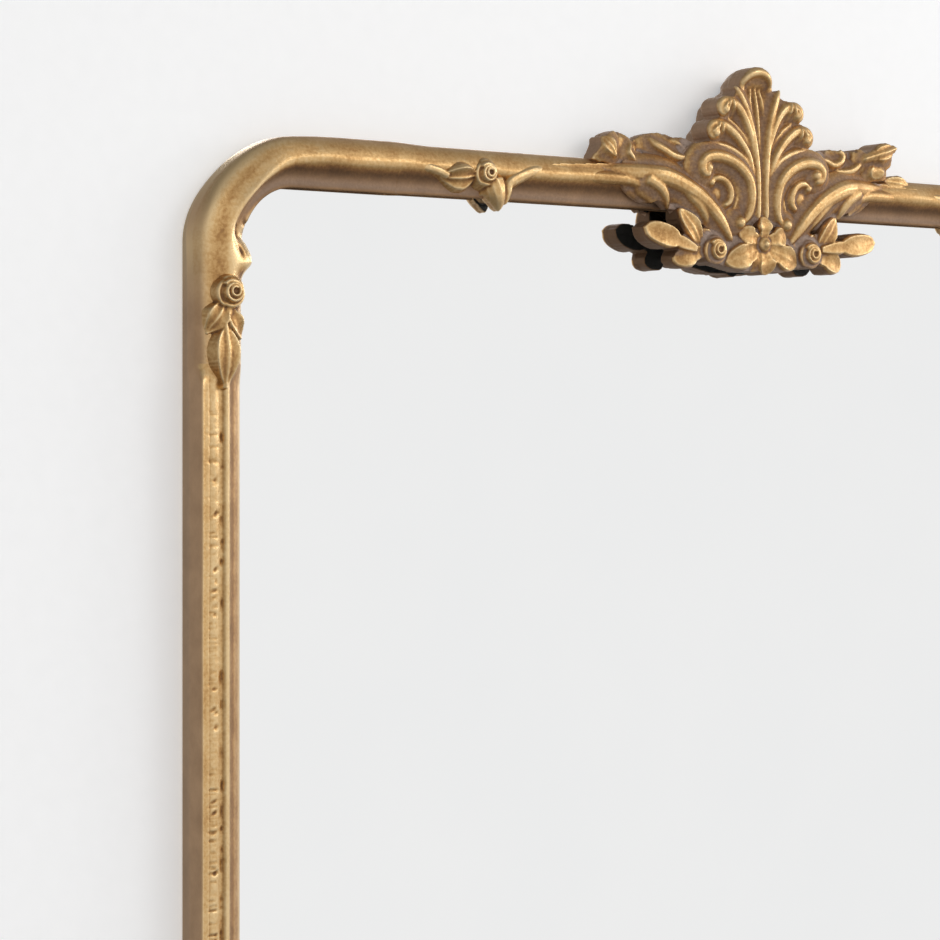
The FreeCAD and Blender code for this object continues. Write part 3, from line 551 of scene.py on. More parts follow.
def piece_from(name, mesh, replaced):
    """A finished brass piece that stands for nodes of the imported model."""
    mesh.name = name
    mesh.polygons.foreach_set("use_smooth", [True] * len(mesh.polygons))
    mesh.materials.clear()
    mesh.materials.append(brass)
    piece = add_object(name, mesh)
    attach(piece, "frame")
    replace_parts(piece, *replaced)
    print(name, "triangles", sum(len(p.vertices) - 2 for p in mesh.polygons))


def turned_over(mesh, across, upright):
    """A copy of a mesh, mirrored left for right or top for bottom where the sign is minus."""
    bm = bmesh.new()
    bm.from_mesh(mesh)
    middle = MIDDLE_HEIGHT * MM
    flip = Matrix.Translation((0, 0, middle)) @ Matrix.Diagonal((across, 1, upright, 1))
    bmesh.ops.transform(bm, matrix=flip @ Matrix.Translation((0, 0, -middle)), verts=bm.verts)
    if across * upright < 0:
        bmesh.ops.reverse_faces(bm, faces=bm.faces)
    return mesh_from(bm, mesh.name)


def in_each_corner(kind, mesh):
    """A piece in the upper left corner of the frame, and its mirror images in the other three."""
    for high, upright in (("top", 1), ("bottom", -1)):
        for hand, across in (("left", 1), ("right", -1)):
            copy = turned_over(mesh, across, upright)
            piece_from(f"{kind}_{high}_{hand}_cast", copy, [f"{high}_{hand}_{kind}"])


print("piece helpers ready")

# %% [markdown]
# ## Folds between the strokes
# On a casting no rib stands on flat ground like a rope. Each rises out of the ground in a hollow fold, as if a
# wet cloth lay over the strokes. More strokes could be added for every fold. It is surer to lay that cloth: a
# map of how far forward the strokes reach is let fall away from every point, and the sheet is backed to a solid.

# %% A map of the front and the cloth over it
CELL, FOLD = 0.7, 9.8
IN_FRONT, QUICK_FALL, MARGIN = -90.0, 1.6, 40


def front_map(bm, low, high):
    """How far forward the strokes reach in millimetres, seen straight from the front, cell by cell."""
    sight = BVHTree.FromBMesh(bm)
    grid = ((high - low) / CELL).astype(int) + 1
    front = np.full(grid, -np.inf)
    spots = np.array([v.co for v in bm.verts])[:, [0, 2]] / MM
    first = np.maximum(((spots.min(0) - low) / CELL).astype(int), 0)
    last = np.minimum(((spots.max(0) - low) / CELL).astype(int) + 2, grid)
    for i in range(first[0], last[0]):
        for j in range(first[1], last[1]):
            start = Vector((low[0] + i * CELL, IN_FRONT, low[1] + j * CELL)) * MM
            hit = sight.ray_cast(start, (0, 1, 0))[0]
            if hit:
                front[i, j] = -hit.y / MM
    return front


def lay_cloth(front, allowed, steep, slope):
    """A cloth over a map. It falls away from every point, fast at first and then slowly."""
    cloth = front.copy()
    steps = int(FOLD / CELL)
    for i in range(-steps, steps + 1):
        for j in range(-steps, steps + 1):
            away = math.hypot(i, j) * CELL
            if away <= FOLD:
                fall = steep * (1 - math.exp(-away / QUICK_FALL)) + slope * away
                cloth = np.maximum(cloth, np.roll(front, (i, j), (0, 1)) - fall)
    return np.where(allowed, cloth, -np.inf)


print("cloth helpers ready")

# %% The cloth as a solid
def add_sheet(bm, cloth, low, back):
    """The cloth as a sheet with a flat back, added to the strokes."""
    inside = np.isfinite(cloth)
    rows, columns = np.nonzero(inside.any(1))[0], np.nonzero(inside.any(0))[0]
    part = (slice(rows[0], rows[-1] + 1), slice(columns[0], columns[-1] + 1))
    i, j = np.mgrid[part]
    depth = -np.where(inside[part], cloth[part], 0)
    places = np.stack([low[0] + i * CELL, depth, low[1] + j * CELL], axis=-1)
    made = shaped_grid(bm, places * MM)
    outside = [vert for vert, stays in zip(made, inside[part].ravel()) if not stays]
    bmesh.ops.delete(bm, geom=outside, context="VERTS")
    push_back(bm, list({f for v in made if v.is_valid for f in v.link_faces}), back)


def draped_skin(bm, low, high, steep, slope, back, voxel, rounds):
    """A skin over strokes and a cloth that spreads over a room of x and z."""
    low, high = np.array(low, float), np.array(high, float)
    edge = low - MARGIN
    front = front_map(bm, edge, high + MARGIN)
    i, j = np.mgrid[:front.shape[0], :front.shape[1]]
    x, z = edge[0] + i * CELL, edge[1] + j * CELL
    room = (x > low[0]) & (x < high[0]) & (z > low[1]) & (z < high[1])
    add_sheet(bm, lay_cloth(front, room | np.isfinite(front), steep, slope), edge, back)
    return cast_skin(bm, voxel, rounds)


print("sheet helpers ready")

# %% [markdown]
# ## Mouldings of the frame
# The stile has a flat brown side, a sharp outer ridge, a hollow face with a worn bead, and a bright inner bead
# above the cove. The rails and corners are rounded like a branch. A section could be extruded and then cut, but
# the section changes along the corner, so a grid is rolled into the moulding with a section for each station.

# %% Sections across the mouldings, inwards and forwards from the outer back edge
FACE_POINTS = 58
MOULDING_WIDTH = 39
STILE_FACE = [(0, 12), (0, 24.8), (0.6, 26.6), (1.4, 27), (2.6, 26.7), (6.2, 26.2), (7.0, 25.8), (7.8, 26.1),
              (10.2, 26.4), (12.6, 25.9), (15.2, 25.0), (17.4, 24.8), (18.8, 26.1), (20.4, 27), (22.4, 26.4),
              (24.2, 24.2), (27.6, 21.4), (30.4, 20.2), (33.6, 17.6), (38, 14)]
LEG_FACE = [(0, 9), (0, 14.5), (0.4, 18.0), (1.4, 20.6), (3.2, 22.6), (5.8, 24.0), (8.8, 24.9), (11.8, 25.5),
            (14.8, 26.1), (17.6, 26.6), (20.2, 27.0), (22.8, 27.1), (25.2, 26.7), (27.6, 25.8), (29.8, 24.4),
            (31.8, 22.6), (33.8, 20.6), (35.6, 18.4), (37.4, 16.2), (39, 14)]
RAIL_FACE = [(0, 3), (0, 9), (0.2, 13), (0.9, 16.4), (2.4, 19.2), (4.6, 21.6), (7.4, 23.6), (10.2, 25.1),
             (12.8, 26.2), (14.8, 26.9), (16.6, 27.2), (18.4, 27.0), (20.2, 26.3), (22.0, 25.1), (24.0, 23.7),
             (26.2, 22.4), (28.8, 21.2), (31.8, 20.2), (35.2, 19.4), (39, 18.6)]
HOLLOW = [(25, 16), (25, 20), (15, 20), (5, 20), (5, 10), (5, 0), (0, 0)]
BACK = [(39, 12), (32, 12), (25, 12), *HOLLOW]
RAIL_BACK = [(38.6, 17.8), (33, 17.4), (25, 15), *HOLLOW]


def whole_section(face, back):
    """The smooth face and the plain hollow back as one closed line of points."""
    line = smooth_line(face, FACE_POINTS)
    return np.vstack([line, back, line[:1]])


sections = {
    "stile": whole_section(STILE_FACE, BACK),
    "leg": whole_section(LEG_FACE, BACK),
    "rail": whole_section(RAIL_FACE, RAIL_BACK),
}
print("points in a section", len(sections["rail"]))

# %% Rolling a moulding
HALF_WIDTH, WALL_GAP = 508.0, 2.0


def moulding(stations, rings):
    """A closed moulding from stations of (x, z, inward x, inward z) and a section for each."""
    bm = bmesh.new()
    x, z, inward_x, inward_z = [stations[:, i][:, None] for i in range(4)]
    across, forward = rings[..., 0], rings[..., 1]
    places = np.stack([x + inward_x * across, -WALL_GAP - forward, z + inward_z * across], axis=-1)
    shaped_grid(bm, places * MM)
    bmesh.ops.remove_doubles(bm, verts=bm.verts, dist=1e-6)
    open_edges = [e for e in bm.edges if e.is_boundary]
    bmesh.ops.holes_fill(bm, edges=open_edges, sides=0)
    for edge in open_edges:
        edge.smooth = False
    bmesh.ops.recalc_face_normals(bm, faces=bm.faces)
    return mesh_from(bm, "moulding")


print("moulding helper ready")

# %% Unevenness of a hand-finished pattern
RIDGE_AT, RIDGE_SPREAD = 18, 8


def ease(value):
    """A smooth step from zero to one."""
    t = np.clip(value, 0, 1)
    return t * t * (3 - 2 * t)


def wander_at(x):
    """How far the ridge of a rail strays sideways at a place along it."""
    return noise.noise(Vector((x / 66, 3.1, 7.7))) + 0.5 * noise.noise(Vector((x / 27, 1.3, 2.2)))


def waver(stations, rings, size, length, wander=0.0):
    """Slow unevenness along a moulding, strongest on its face, as a hand-finished pattern has."""
    for i, station in enumerate(stations):
        spot = Vector((station[0], station[1], 0)) / length
        for j in range(FACE_POINTS):
            fade = math.sin(math.pi * j / (FACE_POINTS - 1))
            push = noise.noise(spot + Vector((0, 0, rings[i, j, 0] / length))) * size * fade
            rings[i, j, 1] += push - size * 0.3 * fade
            if wander:
                ridge = math.exp(-((rings[i, j, 0] - RIDGE_AT) / RIDGE_SPREAD) ** 2) * fade
                rings[i, j, 0] += wander_at(station[0]) * wander * ridge
    return rings


print("unevenness ready, for example", round(wander_at(0.0), 3))

# %% [markdown]
# ## The stiles
# The stile was chased with a chisel: pits run along its bead and in its hollow. They could be a bump in the finish,
# but in the photograph they catch light and shade, so each is pressed into the grid. A fixed seed keeps them in the
# same places each time.

# %% Where the stile is dull and where it is bright
def outer_side(normal):
    """How far a surface faces left, away from the frame."""
    return np.clip(-normal[:, 0] * 1.6 - 0.3, 0, 0.95)


def stile_across(here):
    """Millimetres inwards from the outer edge of the left stile."""
    return here[:, 0] / MM + HALF_WIDTH


def stile_film(here, normal):
    """Brown film on the outer side and in the cove."""
    across = stile_across(here)
    cove = ease((across - 22.5) / 3) * ease((38 - across) / 3)
    outer = ease((2.2 - across) / 1.5)
    return outer_side(normal) * outer + 0.45 * cove


def stile_sunk(here):
    """The stile was rubbed evenly, so even its hollow is bright, and only the cove is dull."""
    across = stile_across(here)
    hollow = ease((across - 12) / 2) * ease((18.5 - across) / 1.5)
    return -0.12 - 0.22 * hollow + 0.3 * ease((across - 23) / 3)


print("stile finish rules ready")

# %% Chisel pits in the stile
PITS_FOOT, PITS_TOP, DEEPEST = -722, 105, 2.2


def chisel_pits(across, z):
    """Depths of pits along the bead and in the hollow, and of fine cuts across the bead."""
    luck = random.Random(7)
    dent = np.zeros(across.shape)
    for _ in range(120):
        spot = luck.uniform(PITS_FOOT, PITS_TOP)
        line = luck.choice((10.2, 11.0, 12.0, 17.2, 17.6, 17.8))
        wide, tall, deep = luck.uniform(1.2, 3.0), luck.uniform(0.8, 1.7), luck.uniform(0.4, 1.2)
        if line > 15:
            wide, tall = luck.uniform(0.8, 1.6), luck.uniform(1.5, 4.5)
        leaning = z - spot - 0.35 * (across - line)
        dent += deep * np.exp(-((across - line) / wide) ** 2 - (leaning / tall) ** 2)
    for _ in range(260):
        spot = luck.uniform(PITS_FOOT, PITS_TOP)
        line, wide = luck.uniform(8.5, 11), luck.uniform(2, 4.5)
        deep = luck.uniform(0.15, 0.45) * (1.4 if spot < -150 else 0.8)
        dent += deep * np.exp(-((across - line) / wide) ** 4 - ((z - spot) / 0.75) ** 2)
    dent[:, FACE_POINTS:] = 0
    return np.minimum(dent, DEEPEST)


print("pits ready")

# %% The stiles
STILE_TOP, STILE_FOOT, STILE_ROWS = 135, -725, 861


def make_stile():
    """The left stile. Its top takes on the section of the corner's leg."""
    heights = np.linspace(STILE_TOP, STILE_FOOT, STILE_ROWS)
    stations = np.stack([np.full_like(heights, -HALF_WIDTH), heights,
                         np.ones_like(heights), np.zeros_like(heights)], axis=1)
    share = ease((STILE_TOP - heights) / 16)[:, None, None]
    rings = (1 - share) * sections["leg"] + share * sections["stile"]
    rings = waver(stations, rings, size=0.5, length=60)
    rings[..., 1] -= chisel_pits(rings[..., 0], heights[:, None])
    mesh = moulding(stations, rings)
    here, normal = surface(mesh)
    wear(mesh, proud=1.3, rounds=40, film_and_painted_shade=stile_film(here, normal), dulling_and_painted_light=stile_sunk(here), rows=len(stations))
    return mesh


left_stile = make_stile()
piece_from("stile_left_cast", left_stile, ["left_stile"])
piece_from("stile_right_cast", turned_over(left_stile, -1, 1), ["right_stile"])

# %% [markdown]
# ## The corners
# A corner starts as the rounded leg above the stile and turns into the rail, like a bent branch. A spin would keep
# one section all the way round. Here every station has its own, blended from the leg's to the rail's. The bend is
# slimmed on its outside, and the leg has a nib and a few chips on its inner edge.

# %% Where the bends and the rails are dull and bright, with painted shade and painted highlights
BEND = 80.0
RAIL_WANDER = 1.8


def rail_inward(here):
    """Millimetres inwards from the outer edge of the top rail and the bend."""
    x, z = np.abs(here[:, 0]) / MM - (HALF_WIDTH - BEND), here[:, 2] / MM - (RAIL_TOP - BEND)
    return BEND - np.where(x > 0, np.hypot(np.maximum(x, 0), np.maximum(z, 0)), z)


def above_leg(here):
    """One on the rail and the bend, and zero on the leg below them."""
    return ease((here[:, 2] - 0.225) / 0.035)


def rail_film_and_painted_shade(here, normal):
    """A dull band of film along the top of the rail, and painted shade low in its cove, both fading out at the leg.
    """
    inward = rail_inward(here)
    # The first band is film on the top; the second is painted shade in the cove
    bands = 0.8 * ease((8 - inward) / 8) + 0.45 * ease((inward - 25) / 8)
    return bands * ease((here[:, 2] - 0.20) / 0.05) * (normal[:, 1] < 0.5)


def corner_film_and_painted_shade(here, normal):
    """Brown film on the outer side of the leg, fading round the bend, where the rail's bands begin: film on the top
    and painted shade in the cove.
    """
    low = 1 - ease((here[:, 2] - 0.165) / 0.07)
    return np.maximum(outer_side(normal) * (0.1 + 0.9 * low), rail_film_and_painted_shade(here, normal))


def rail_painted_bounce_light(here, normal):
    """A thin grey strip low in the cove of the rail: painted light, bounced onto it from the glass."""
    inward = rail_inward(here)
    # Painted light bounced up from the glass onto the lower cove
    strip = ease((inward - 29) / 6) * ease((37.5 - inward) / 1.5)
    return 0.3 * strip * above_leg(here) * (normal[:, 1] < 0.5)


def rail_rub_and_painted_light(here):
    """How far the rub is lowered: a little on the top, where the rubbing fell short, and most in the cove and at
    the lip, where it is painted shade. The ridge of the bend and the inner slope of the leg are raised instead, a
    painted highlight that makes them brightest."""
    x, z = np.abs(here[:, 0]) / MM - HALF_WIDTH + BEND, here[:, 2] / MM - RAIL_TOP + BEND
    turn = np.sin(2 * np.arctan2(np.maximum(z, 0), np.maximum(x, 1e-6)))
    around = np.where((x > 0) & (z > 0), turn, 0)
    stray = np.array([RAIL_WANDER * wander_at(-abs(p[0]) / MM) for p in here])
    inward = rail_inward(here) - 9.0 * around ** 1.5 - stray
    ridge = np.exp(-((inward - 17.0) / 5.0) ** 2)
    # Painted shade in the cove under the ridge, a little dulling on the top, and a painted highlight along the
    # ridge of the bend
    rail = 0.62 * ease((inward - 20) / 7) + 0.16 * ease((13 - inward) / 5) + (0.15 - 0.5 * around) * ridge
    # Painted shade at the lip over the glass
    rail += 0.8 * ease((rail_inward(here) - 33) / 3)
    high = above_leg(here)
    # Painted highlight on the inner slope of the leg
    leg = 0.12 - 0.45 * np.exp(-((stile_across(here) - 27) / 5.5) ** 2)
    return rail * high + leg * (1 - high)


print("rail finish rules ready")

# %% Shaping the bend
def slim_bend(rings, around):
    """Slims the outside of the bend, moves the hollow behind it, and pulls the ridge inwards."""
    inset = 5.6 * np.sin(np.clip(around, 0, 1) * math.pi) ** 2 + 2.4 * np.exp(-((around - 0.85) / 0.25) ** 2)
    rings[..., 0] += inset * (1 - np.clip(rings[..., 0], 0, MOULDING_WIDTH) / MOULDING_WIDTH)
    hollow = FACE_POINTS + RAIL_BACK.index((5, 20))
    rings[:, hollow] += inset * np.array((0.4, -0.7))
    across = rings[:, :FACE_POINTS, 0]
    pull = 8 * np.exp(-((around - 0.47) / 0.42) ** 2) * np.exp(-((across - 18) / 10) ** 2)
    pull *= ease((across - 5) / 6) * ease((MOULDING_WIDTH - across) / 6)
    across += pull


def carve_leg(rings, z, travel):
    """Gives the leg a nib on its inner edge, a nip above that, and a few chips."""
    across, low = rings[:, :FACE_POINTS, 0], travel < 0.4
    nib = np.exp(-((across - 37) / 8) ** 2 - ((z - 207) / np.where(z > 207, 13, 7)) ** 2) * low
    nip = np.exp(-((across - 39) / 8) ** 2 - ((z - 232) / 11) ** 2) * low
    across += 6.5 * nib - 2.5 * nip
    chips = np.zeros(nib.shape)
    for at, high, wide, tall, deep in ((37, 246, 2.0, 4, 1.6), (29.5, 238, 1.6, 3, 1.8),
                                       (31, 230, 2.0, 4, 2.0), (34, 214, 2.2, 2.5, 1.6)):
        chips += deep * np.exp(-((across - at) / wide) ** 2 - ((z - high + across - at) / tall) ** 2)
    rings[:, :FACE_POINTS, 1] += 4.0 * nib - chips * (travel < 0.45)
    rings[:, -1] = rings[:, 0]


print("bend shapers ready")

# %% The corners
LEG, BEND_STEPS = 85.0, 115


def make_corner():
    """The upper left corner, from the foot of its leg round the bend to the rail."""
    run = np.arange(0, LEG + 1e-6, 1.0)
    angle = np.linspace(0, math.pi / 2, BEND_STEPS + 1)[1:-1]
    foot = [(-HALF_WIDTH, RAIL_TOP - BEND - LEG + d, 1, 0) for d in run]
    turn = [(-HALF_WIDTH + BEND - BEND * math.cos(a), RAIL_TOP - BEND + BEND * math.sin(a),
             math.cos(a), -math.sin(a)) for a in angle]
    head = [(-HALF_WIDTH + BEND + d, RAIL_TOP, 0, -1) for d in run]
    stations = np.array(foot + turn + head)
    travel = np.linspace(0, 1, len(stations))[:, None]
    share = ease((travel[..., None] - 0.15) / 0.34)
    rings = (1 - share) * sections["leg"] + share * sections["rail"]
    slim_bend(rings, (travel * (len(stations) - 1) - LEG) / BEND_STEPS)
    rings = waver(stations, rings, size=1.4, length=40, wander=RAIL_WANDER)
    carve_leg(rings, stations[:, 1][:, None], travel)
    mesh = moulding(stations, rings)
    here, normal = surface(mesh)
    # Film on the top with painted shade in the cove, a painted grey strip of bounced light, and painted shade and
    # highlights in the rub
    film_and_painted_shade, ash_and_painted_bounce_light = corner_film_and_painted_shade(here, normal), rail_painted_bounce_light(here, normal)
    wear(mesh, proud=1.2, rounds=90, film_and_painted_shade=film_and_painted_shade, ash_and_painted_bounce_light=ash_and_painted_bounce_light, dulling_and_painted_light=rail_rub_and_painted_light(here), rows=len(stations))
    return mesh


in_each_corner("corner", make_corner())

# %% [markdown]
# ## The rails
# A rail is one long section, slimmer than at its ends, with the slow waver of a pattern that was filed by hand. A
# plain extrusion would look machined, so each station of the grid strays a little.

# %% The top and bottom rails
RAIL_END, RAIL_ROWS = 343, 540


def make_rail():
    """The top rail."""
    x = np.linspace(-RAIL_END, RAIL_END, RAIL_ROWS)
    stations = np.stack([x, np.full_like(x, RAIL_TOP), np.zeros_like(x), -np.ones_like(x)], axis=1)
    rings = np.repeat(sections["rail"][None], len(x), axis=0)
    slim = 1.4 * ease((RAIL_END - np.abs(x)) / 40)[:, None]
    across = rings[:, :FACE_POINTS, 0]
    rings[:, :FACE_POINTS, 0] = slim + across * (MOULDING_WIDTH - 2 * slim) / MOULDING_WIDTH
    rings[:, -1] = rings[:, 0]
    rings = waver(stations, rings, size=1.4, length=40, wander=RAIL_WANDER)
    mesh = moulding(stations, rings)
    here, normal = surface(mesh)
    # Film on the top with painted shade in the cove, a painted grey strip of bounced light, and painted shade and
    # highlights in the rub
    film_and_painted_shade, ash_and_painted_bounce_light = rail_film_and_painted_shade(here, normal), rail_painted_bounce_light(here, normal)
    wear(mesh, proud=1.2, rounds=90, film_and_painted_shade=film_and_painted_shade, ash_and_painted_bounce_light=ash_and_painted_bounce_light, dulling_and_painted_light=rail_rub_and_painted_light(here), rows=len(stations))
    return mesh


top_rail = make_rail()
piece_from("rail_top_cast", top_rail, ["top_rail"])
piece_from("rail_bottom_cast", turned_over(top_rail, 1, -1), ["bottom_rail"])

# %% [markdown]
# ## Sprigs at the corners
# Each sprig is a small rose with pointed leaves, soldered over a joint of the frame. A rose is a bud with a coil
# of petals round it. Petals could be separate sheets, but at this size the casting only shows their rims. One
# sprig of each kind is modelled in the upper left corner, and the other three are its mirror images.

# %% A rose
def petal_rim(bm, centre, reach, start, sweep, height, thick):
    """The rim of one petal: an arc that opens outwards as it goes round."""
    x, y, z = centre
    arc = []
    for step in np.linspace(0, 1, 8):
        a = math.radians(start + sweep * step)
        far = reach * (0.92 + 0.16 * step)
        slim = thick * (0.55 + 0.45 * math.sin(math.pi * step))
        arc.append((x + far * math.cos(a), y - height, z + far * math.sin(a), slim))
    rope(bm, arc, flat=1.5, sides=8)


def rose(bm, centre, r):
    """A rose facing the viewer: a dome, a coil of petals from a small eye, and three broad petals round it."""
    x, y, z = centre
    ball(bm, (x, y + r * 0.2, z), (r * 0.92, r * 0.72, r * 0.92))
    coil = []
    for t in np.linspace(0, 1, 36):
        angle, far = 0.6 + t * 2.3 * 2 * math.pi, r * (0.15 + 0.53 * t)
        aside = 0.14 * r * (1 - t)
        deep = y + r * (0.17 - 0.72 * math.sqrt(1 - (far / r) ** 2))
        spot = (x + aside + far * math.cos(angle), deep, z + aside * 0.8 + far * math.sin(angle))
        coil.append((*spot, r * (0.075 + 0.06 * t)))
    rope(bm, coil, flat=1.6, sides=8)
    for start in (100, 215, 335):
        petal_rim(bm, (x, y, z), r * 0.82, start, 150, r * 0.08, r * 0.17)


print("rose ready")

# %% The stile sprig: a rose, two splayed leaves and one long leaf
def sprig_film(normal):
    """A trace of film on what faces sideways."""
    return np.clip(normal[:, 1] + 0.35, 0, 0.6)


def make_stile_sprig():
    """The sprig over the joint of stile and corner."""
    bm = bmesh.new()
    x, z = -486.5, 185.0
    rose(bm, (x, -29.5, z), 12.0)
    ball(bm, (x, -25.0, z - 6), (11, 5, 16))
    leaf(bm, (x - 3, -30, z - 7), (x - 17, -26.0, z - 29), 15, thick=3.5, arch=3.0, cup=2.0, rib=1.2, fold=-1.0)
    leaf(bm, (x - 1, -30.5, z - 11), (x + 12, -26.5, z - 32), 11, thick=3.5, arch=3.0, cup=2.2, fold=1.0)
    leaf(bm, (x - 4, -29, z - 24), (x - 3, -26, z - 66), 20, thick=4.0, arch=3.6, cup=1.4, rib=1.0)
    rope(bm, [(x, -28, z - 8, 4.0), (x - 2, -28.5, z - 20, 4.0), (x - 3, -27.5, z - 34, 3.0)])
    skin = draped_skin(bm, (-506, 116), (-472, 203), steep=1.4, slope=2.6, back=-18, voxel=0.6, rounds=2)
    wear(skin, proud=0.7, rounds=50, film_and_painted_shade=sprig_film(surface(skin)[1]))
    return skin


in_each_corner("stile_sprig", make_stile_sprig())

# %% The rail sprig: a rose, a leaf to its side and the stub of a cut branch
def make_rail_sprig():
    """The sprig over the joint of rail and corner."""
    bm = bmesh.new()
    x, z = -264.5, 279.0
    rose(bm, (x, -27.5, z + 1), 10.5)
    leaf(bm, (x - 8, -28, z - 1), (x - 41, -26, z - 4), 18, thick=3.5, arch=3.0, cup=1.8, rib=1.8,
         facing=(0, -0.88, -0.47))
    rope(bm, [(-330, -22, 282.5, 3.0), (-316, -25, 281.6, 3.8), (-306, -26, 279.4, 3.8), (-297, -27, 276, 3.2)])
    rope(bm, [(-256, -22, 277, 10), (-254, -23.5, 268, 10), (-251.5, -24.5, 260, 7), (-250, -24.5, 252, 1.2)])
    rope(bm, [(-190, -21, 283.5, 3.0), (-212, -24, 285.0, 4.4), (-225, -25, 281.8, 5.2), (-236, -25.5, 277.2, 5.2),
              (-242, -26, 273, 4.6), (-243.5, -26.5, 266, 3.6), (-246, -25.5, 257, 2.0)])
    skin = draped_skin(bm, (-330, 263), (-190, 296), steep=1.2, slope=1.9, back=-18, voxel=0.65, rounds=2)
    wear(skin, proud=0.7, rounds=50, film_and_painted_shade=sprig_film(surface(skin)[1]))
    return skin


in_each_corner("rail_sprig", make_rail_sprig())

# %% [markdown]
# ## The crest
# The crest stands on the top rail: a thick scalloped block with a fluted palmette on its front, a C-scroll and an
# acanthus arm on either side, leafy lumps along the rail, and a garland of flowers that hangs over the glass.
# It could be one mesh, but it is cast in pieces, and so it is made here. All strokes are measured from the middle
# of the crest and the top of the rail. Fan, block and scrolls are laid out once and drawn on both sides. The lumps
# and some leaves of the garland differ from side to side, as the real ones do.

# %% Laying out strokes on the crest
SIDES = (1, -1)


def crest_rope(bm, side, points, radii, flat=1.0, facing=TOWARDS_VIEWER):
    """A rope through points of x, z and y, with radii spread along it."""
    width = np.interp(np.linspace(0, 1, len(points)), np.linspace(0, 1, len(radii)), radii)
    rope(bm, [(side * x, y, RAIL_TOP + z, r) for (x, z, y), r in zip(points, width)], flat, facing=facing)


def crest_leaf(bm, side, base, tip, width, **shape):
    """A leaf between two points of x, z and y."""
    ends = [(side * x, y, RAIL_TOP + z) for x, z, y in (base, tip)]
    leaf(bm, *ends, width, **shape)


def crest_slab(bm, side, outline, front, back, lean=0.0):
    """A slab with an outline of x and z, whose front may lean back with height."""
    slab(bm, [(side * x, RAIL_TOP + z) for x, z in outline], front, back, lean)


def crest_ball(bm, side, x, z, y, wide, deep, tall, turn=0.0):
    """An egg at a point of x, z and y."""
    ball(bm, (side * x, y, RAIL_TOP + z), (wide, deep, tall), side * turn)


crest_strokes = {}
print("crest tools ready")

# %% [markdown]
# ### The palmette and its block
# The palmette is a fan of ribs that end in hooked lobes, under a small hood, on a block with scalloped sides. Such
# a relief could be sculpted. Ropes are chosen because each rib then keeps its own taper. The block's swells are
# thick ropes that run straight back, which gives the scallops their depth when seen from the side.

# %% The fan of the palmette
def fan_half(bm, side):
    """Ribs and hooked lobes of one half of the fan."""
    crest_rope(bm, side, [(4.4, -46, -43), (4.4, -14, -42.5), (6.6, 12, -41.5), (11.5, 35, -40), (18.5, 53, -38.5),
                          (24, 63, -36.5)], [2.0, 2.6, 2.9, 3.1, 2.9, 1.2], flat=0.85)
    crest_rope(bm, side, [(7, 0, -41), (9, 16, -41.5), (14.5, 31, -41.5), (21, 41.5, -41), (28.5, 47.5, -40.5),
                          (36.5, 49, -40), (42, 46, -40), (42, 40.5, -40.5), (38, 39, -41)],
               [1.5, 2.4, 3.0, 3.7, 4.3, 4.4, 3.4, 2.6], flat=0.8)
    crest_rope(bm, side, [(6, -6, -39.5), (9.5, 8, -40), (15.5, 19.5, -40), (23.5, 28, -39.5), (32, 34, -39),
                          (36.5, 38.5, -38)],
               [0.9, 1.2, 1.5, 1.5, 0.8])
    for x, z, turn in ((31, 47, 10), (35.5, 47, -10), (39.5, 45, -35), (42.5, 28, 0), (47, 28, -20),
                       (50.5, 26, -45)):
        crest_ball(bm, side, x, z, -43.2, 1.1, 2.0, 4.4, turn)
    crest_ball(bm, side, 38.5, 42.5, -41, 4.2, 3.8, 4.2)
    crest_ball(bm, side, 34, 42, -31, 11, 8, 9)
    crest_rope(bm, side, [(8, -18, -41), (10.5, -4, -42), (15, 7, -42.5), (22, 16.5, -42), (30, 24, -41.5),
                          (39, 29.2, -40.5), (48, 30, -40), (53, 26.5, -40), (52.5, 21, -40.5), (48.5, 19.5, -41)],
               [1.5, 2.4, 3.1, 3.8, 4.3, 4.4, 3.4, 2.6], flat=0.8)
    crest_rope(bm, side, [(24, 27, -38), (31, 31.5, -38), (39, 34.5, -36.5), (46, 35, -34)], [0.8, 1.5, 1.6, 0.9])
    crest_ball(bm, side, 49, 23, -41.5, 4.2, 3.8, 4.2)
    crest_ball(bm, side, 44, 23, -31, 12, 8, 9)
    crest_rope(bm, side, [(8.5, -26, -40.5), (11, -10, -41.5), (17.5, 2, -42), (28.5, 9, -41.5), (41, 13, -40),
                          (55, 13.5, -37.5), (68, 10.5, -35), (77, 5, -33)],
               [1.4, 2.2, 2.8, 3.0, 2.8, 1.8], flat=0.85)


def block_half(bm, side):
    """Scalloped swells of the block, which run back to the wall."""
    for x, z, front, back in ((12, 45, 17, 15), (25, 38, 16.5, 15), (36, 17, 17.5, 16), (46, 1, 15, 14)):
        crest_rope(bm, side, [(x, z, -33), (x, z, -28), (x, z, -18), (x, z - 1, -8), (x, z - 1, -4.5)],
                   [front * 0.7, front, (front + back) / 2, back, back * 0.8], facing=UPWARDS)


print("fan and block drawn in halves")

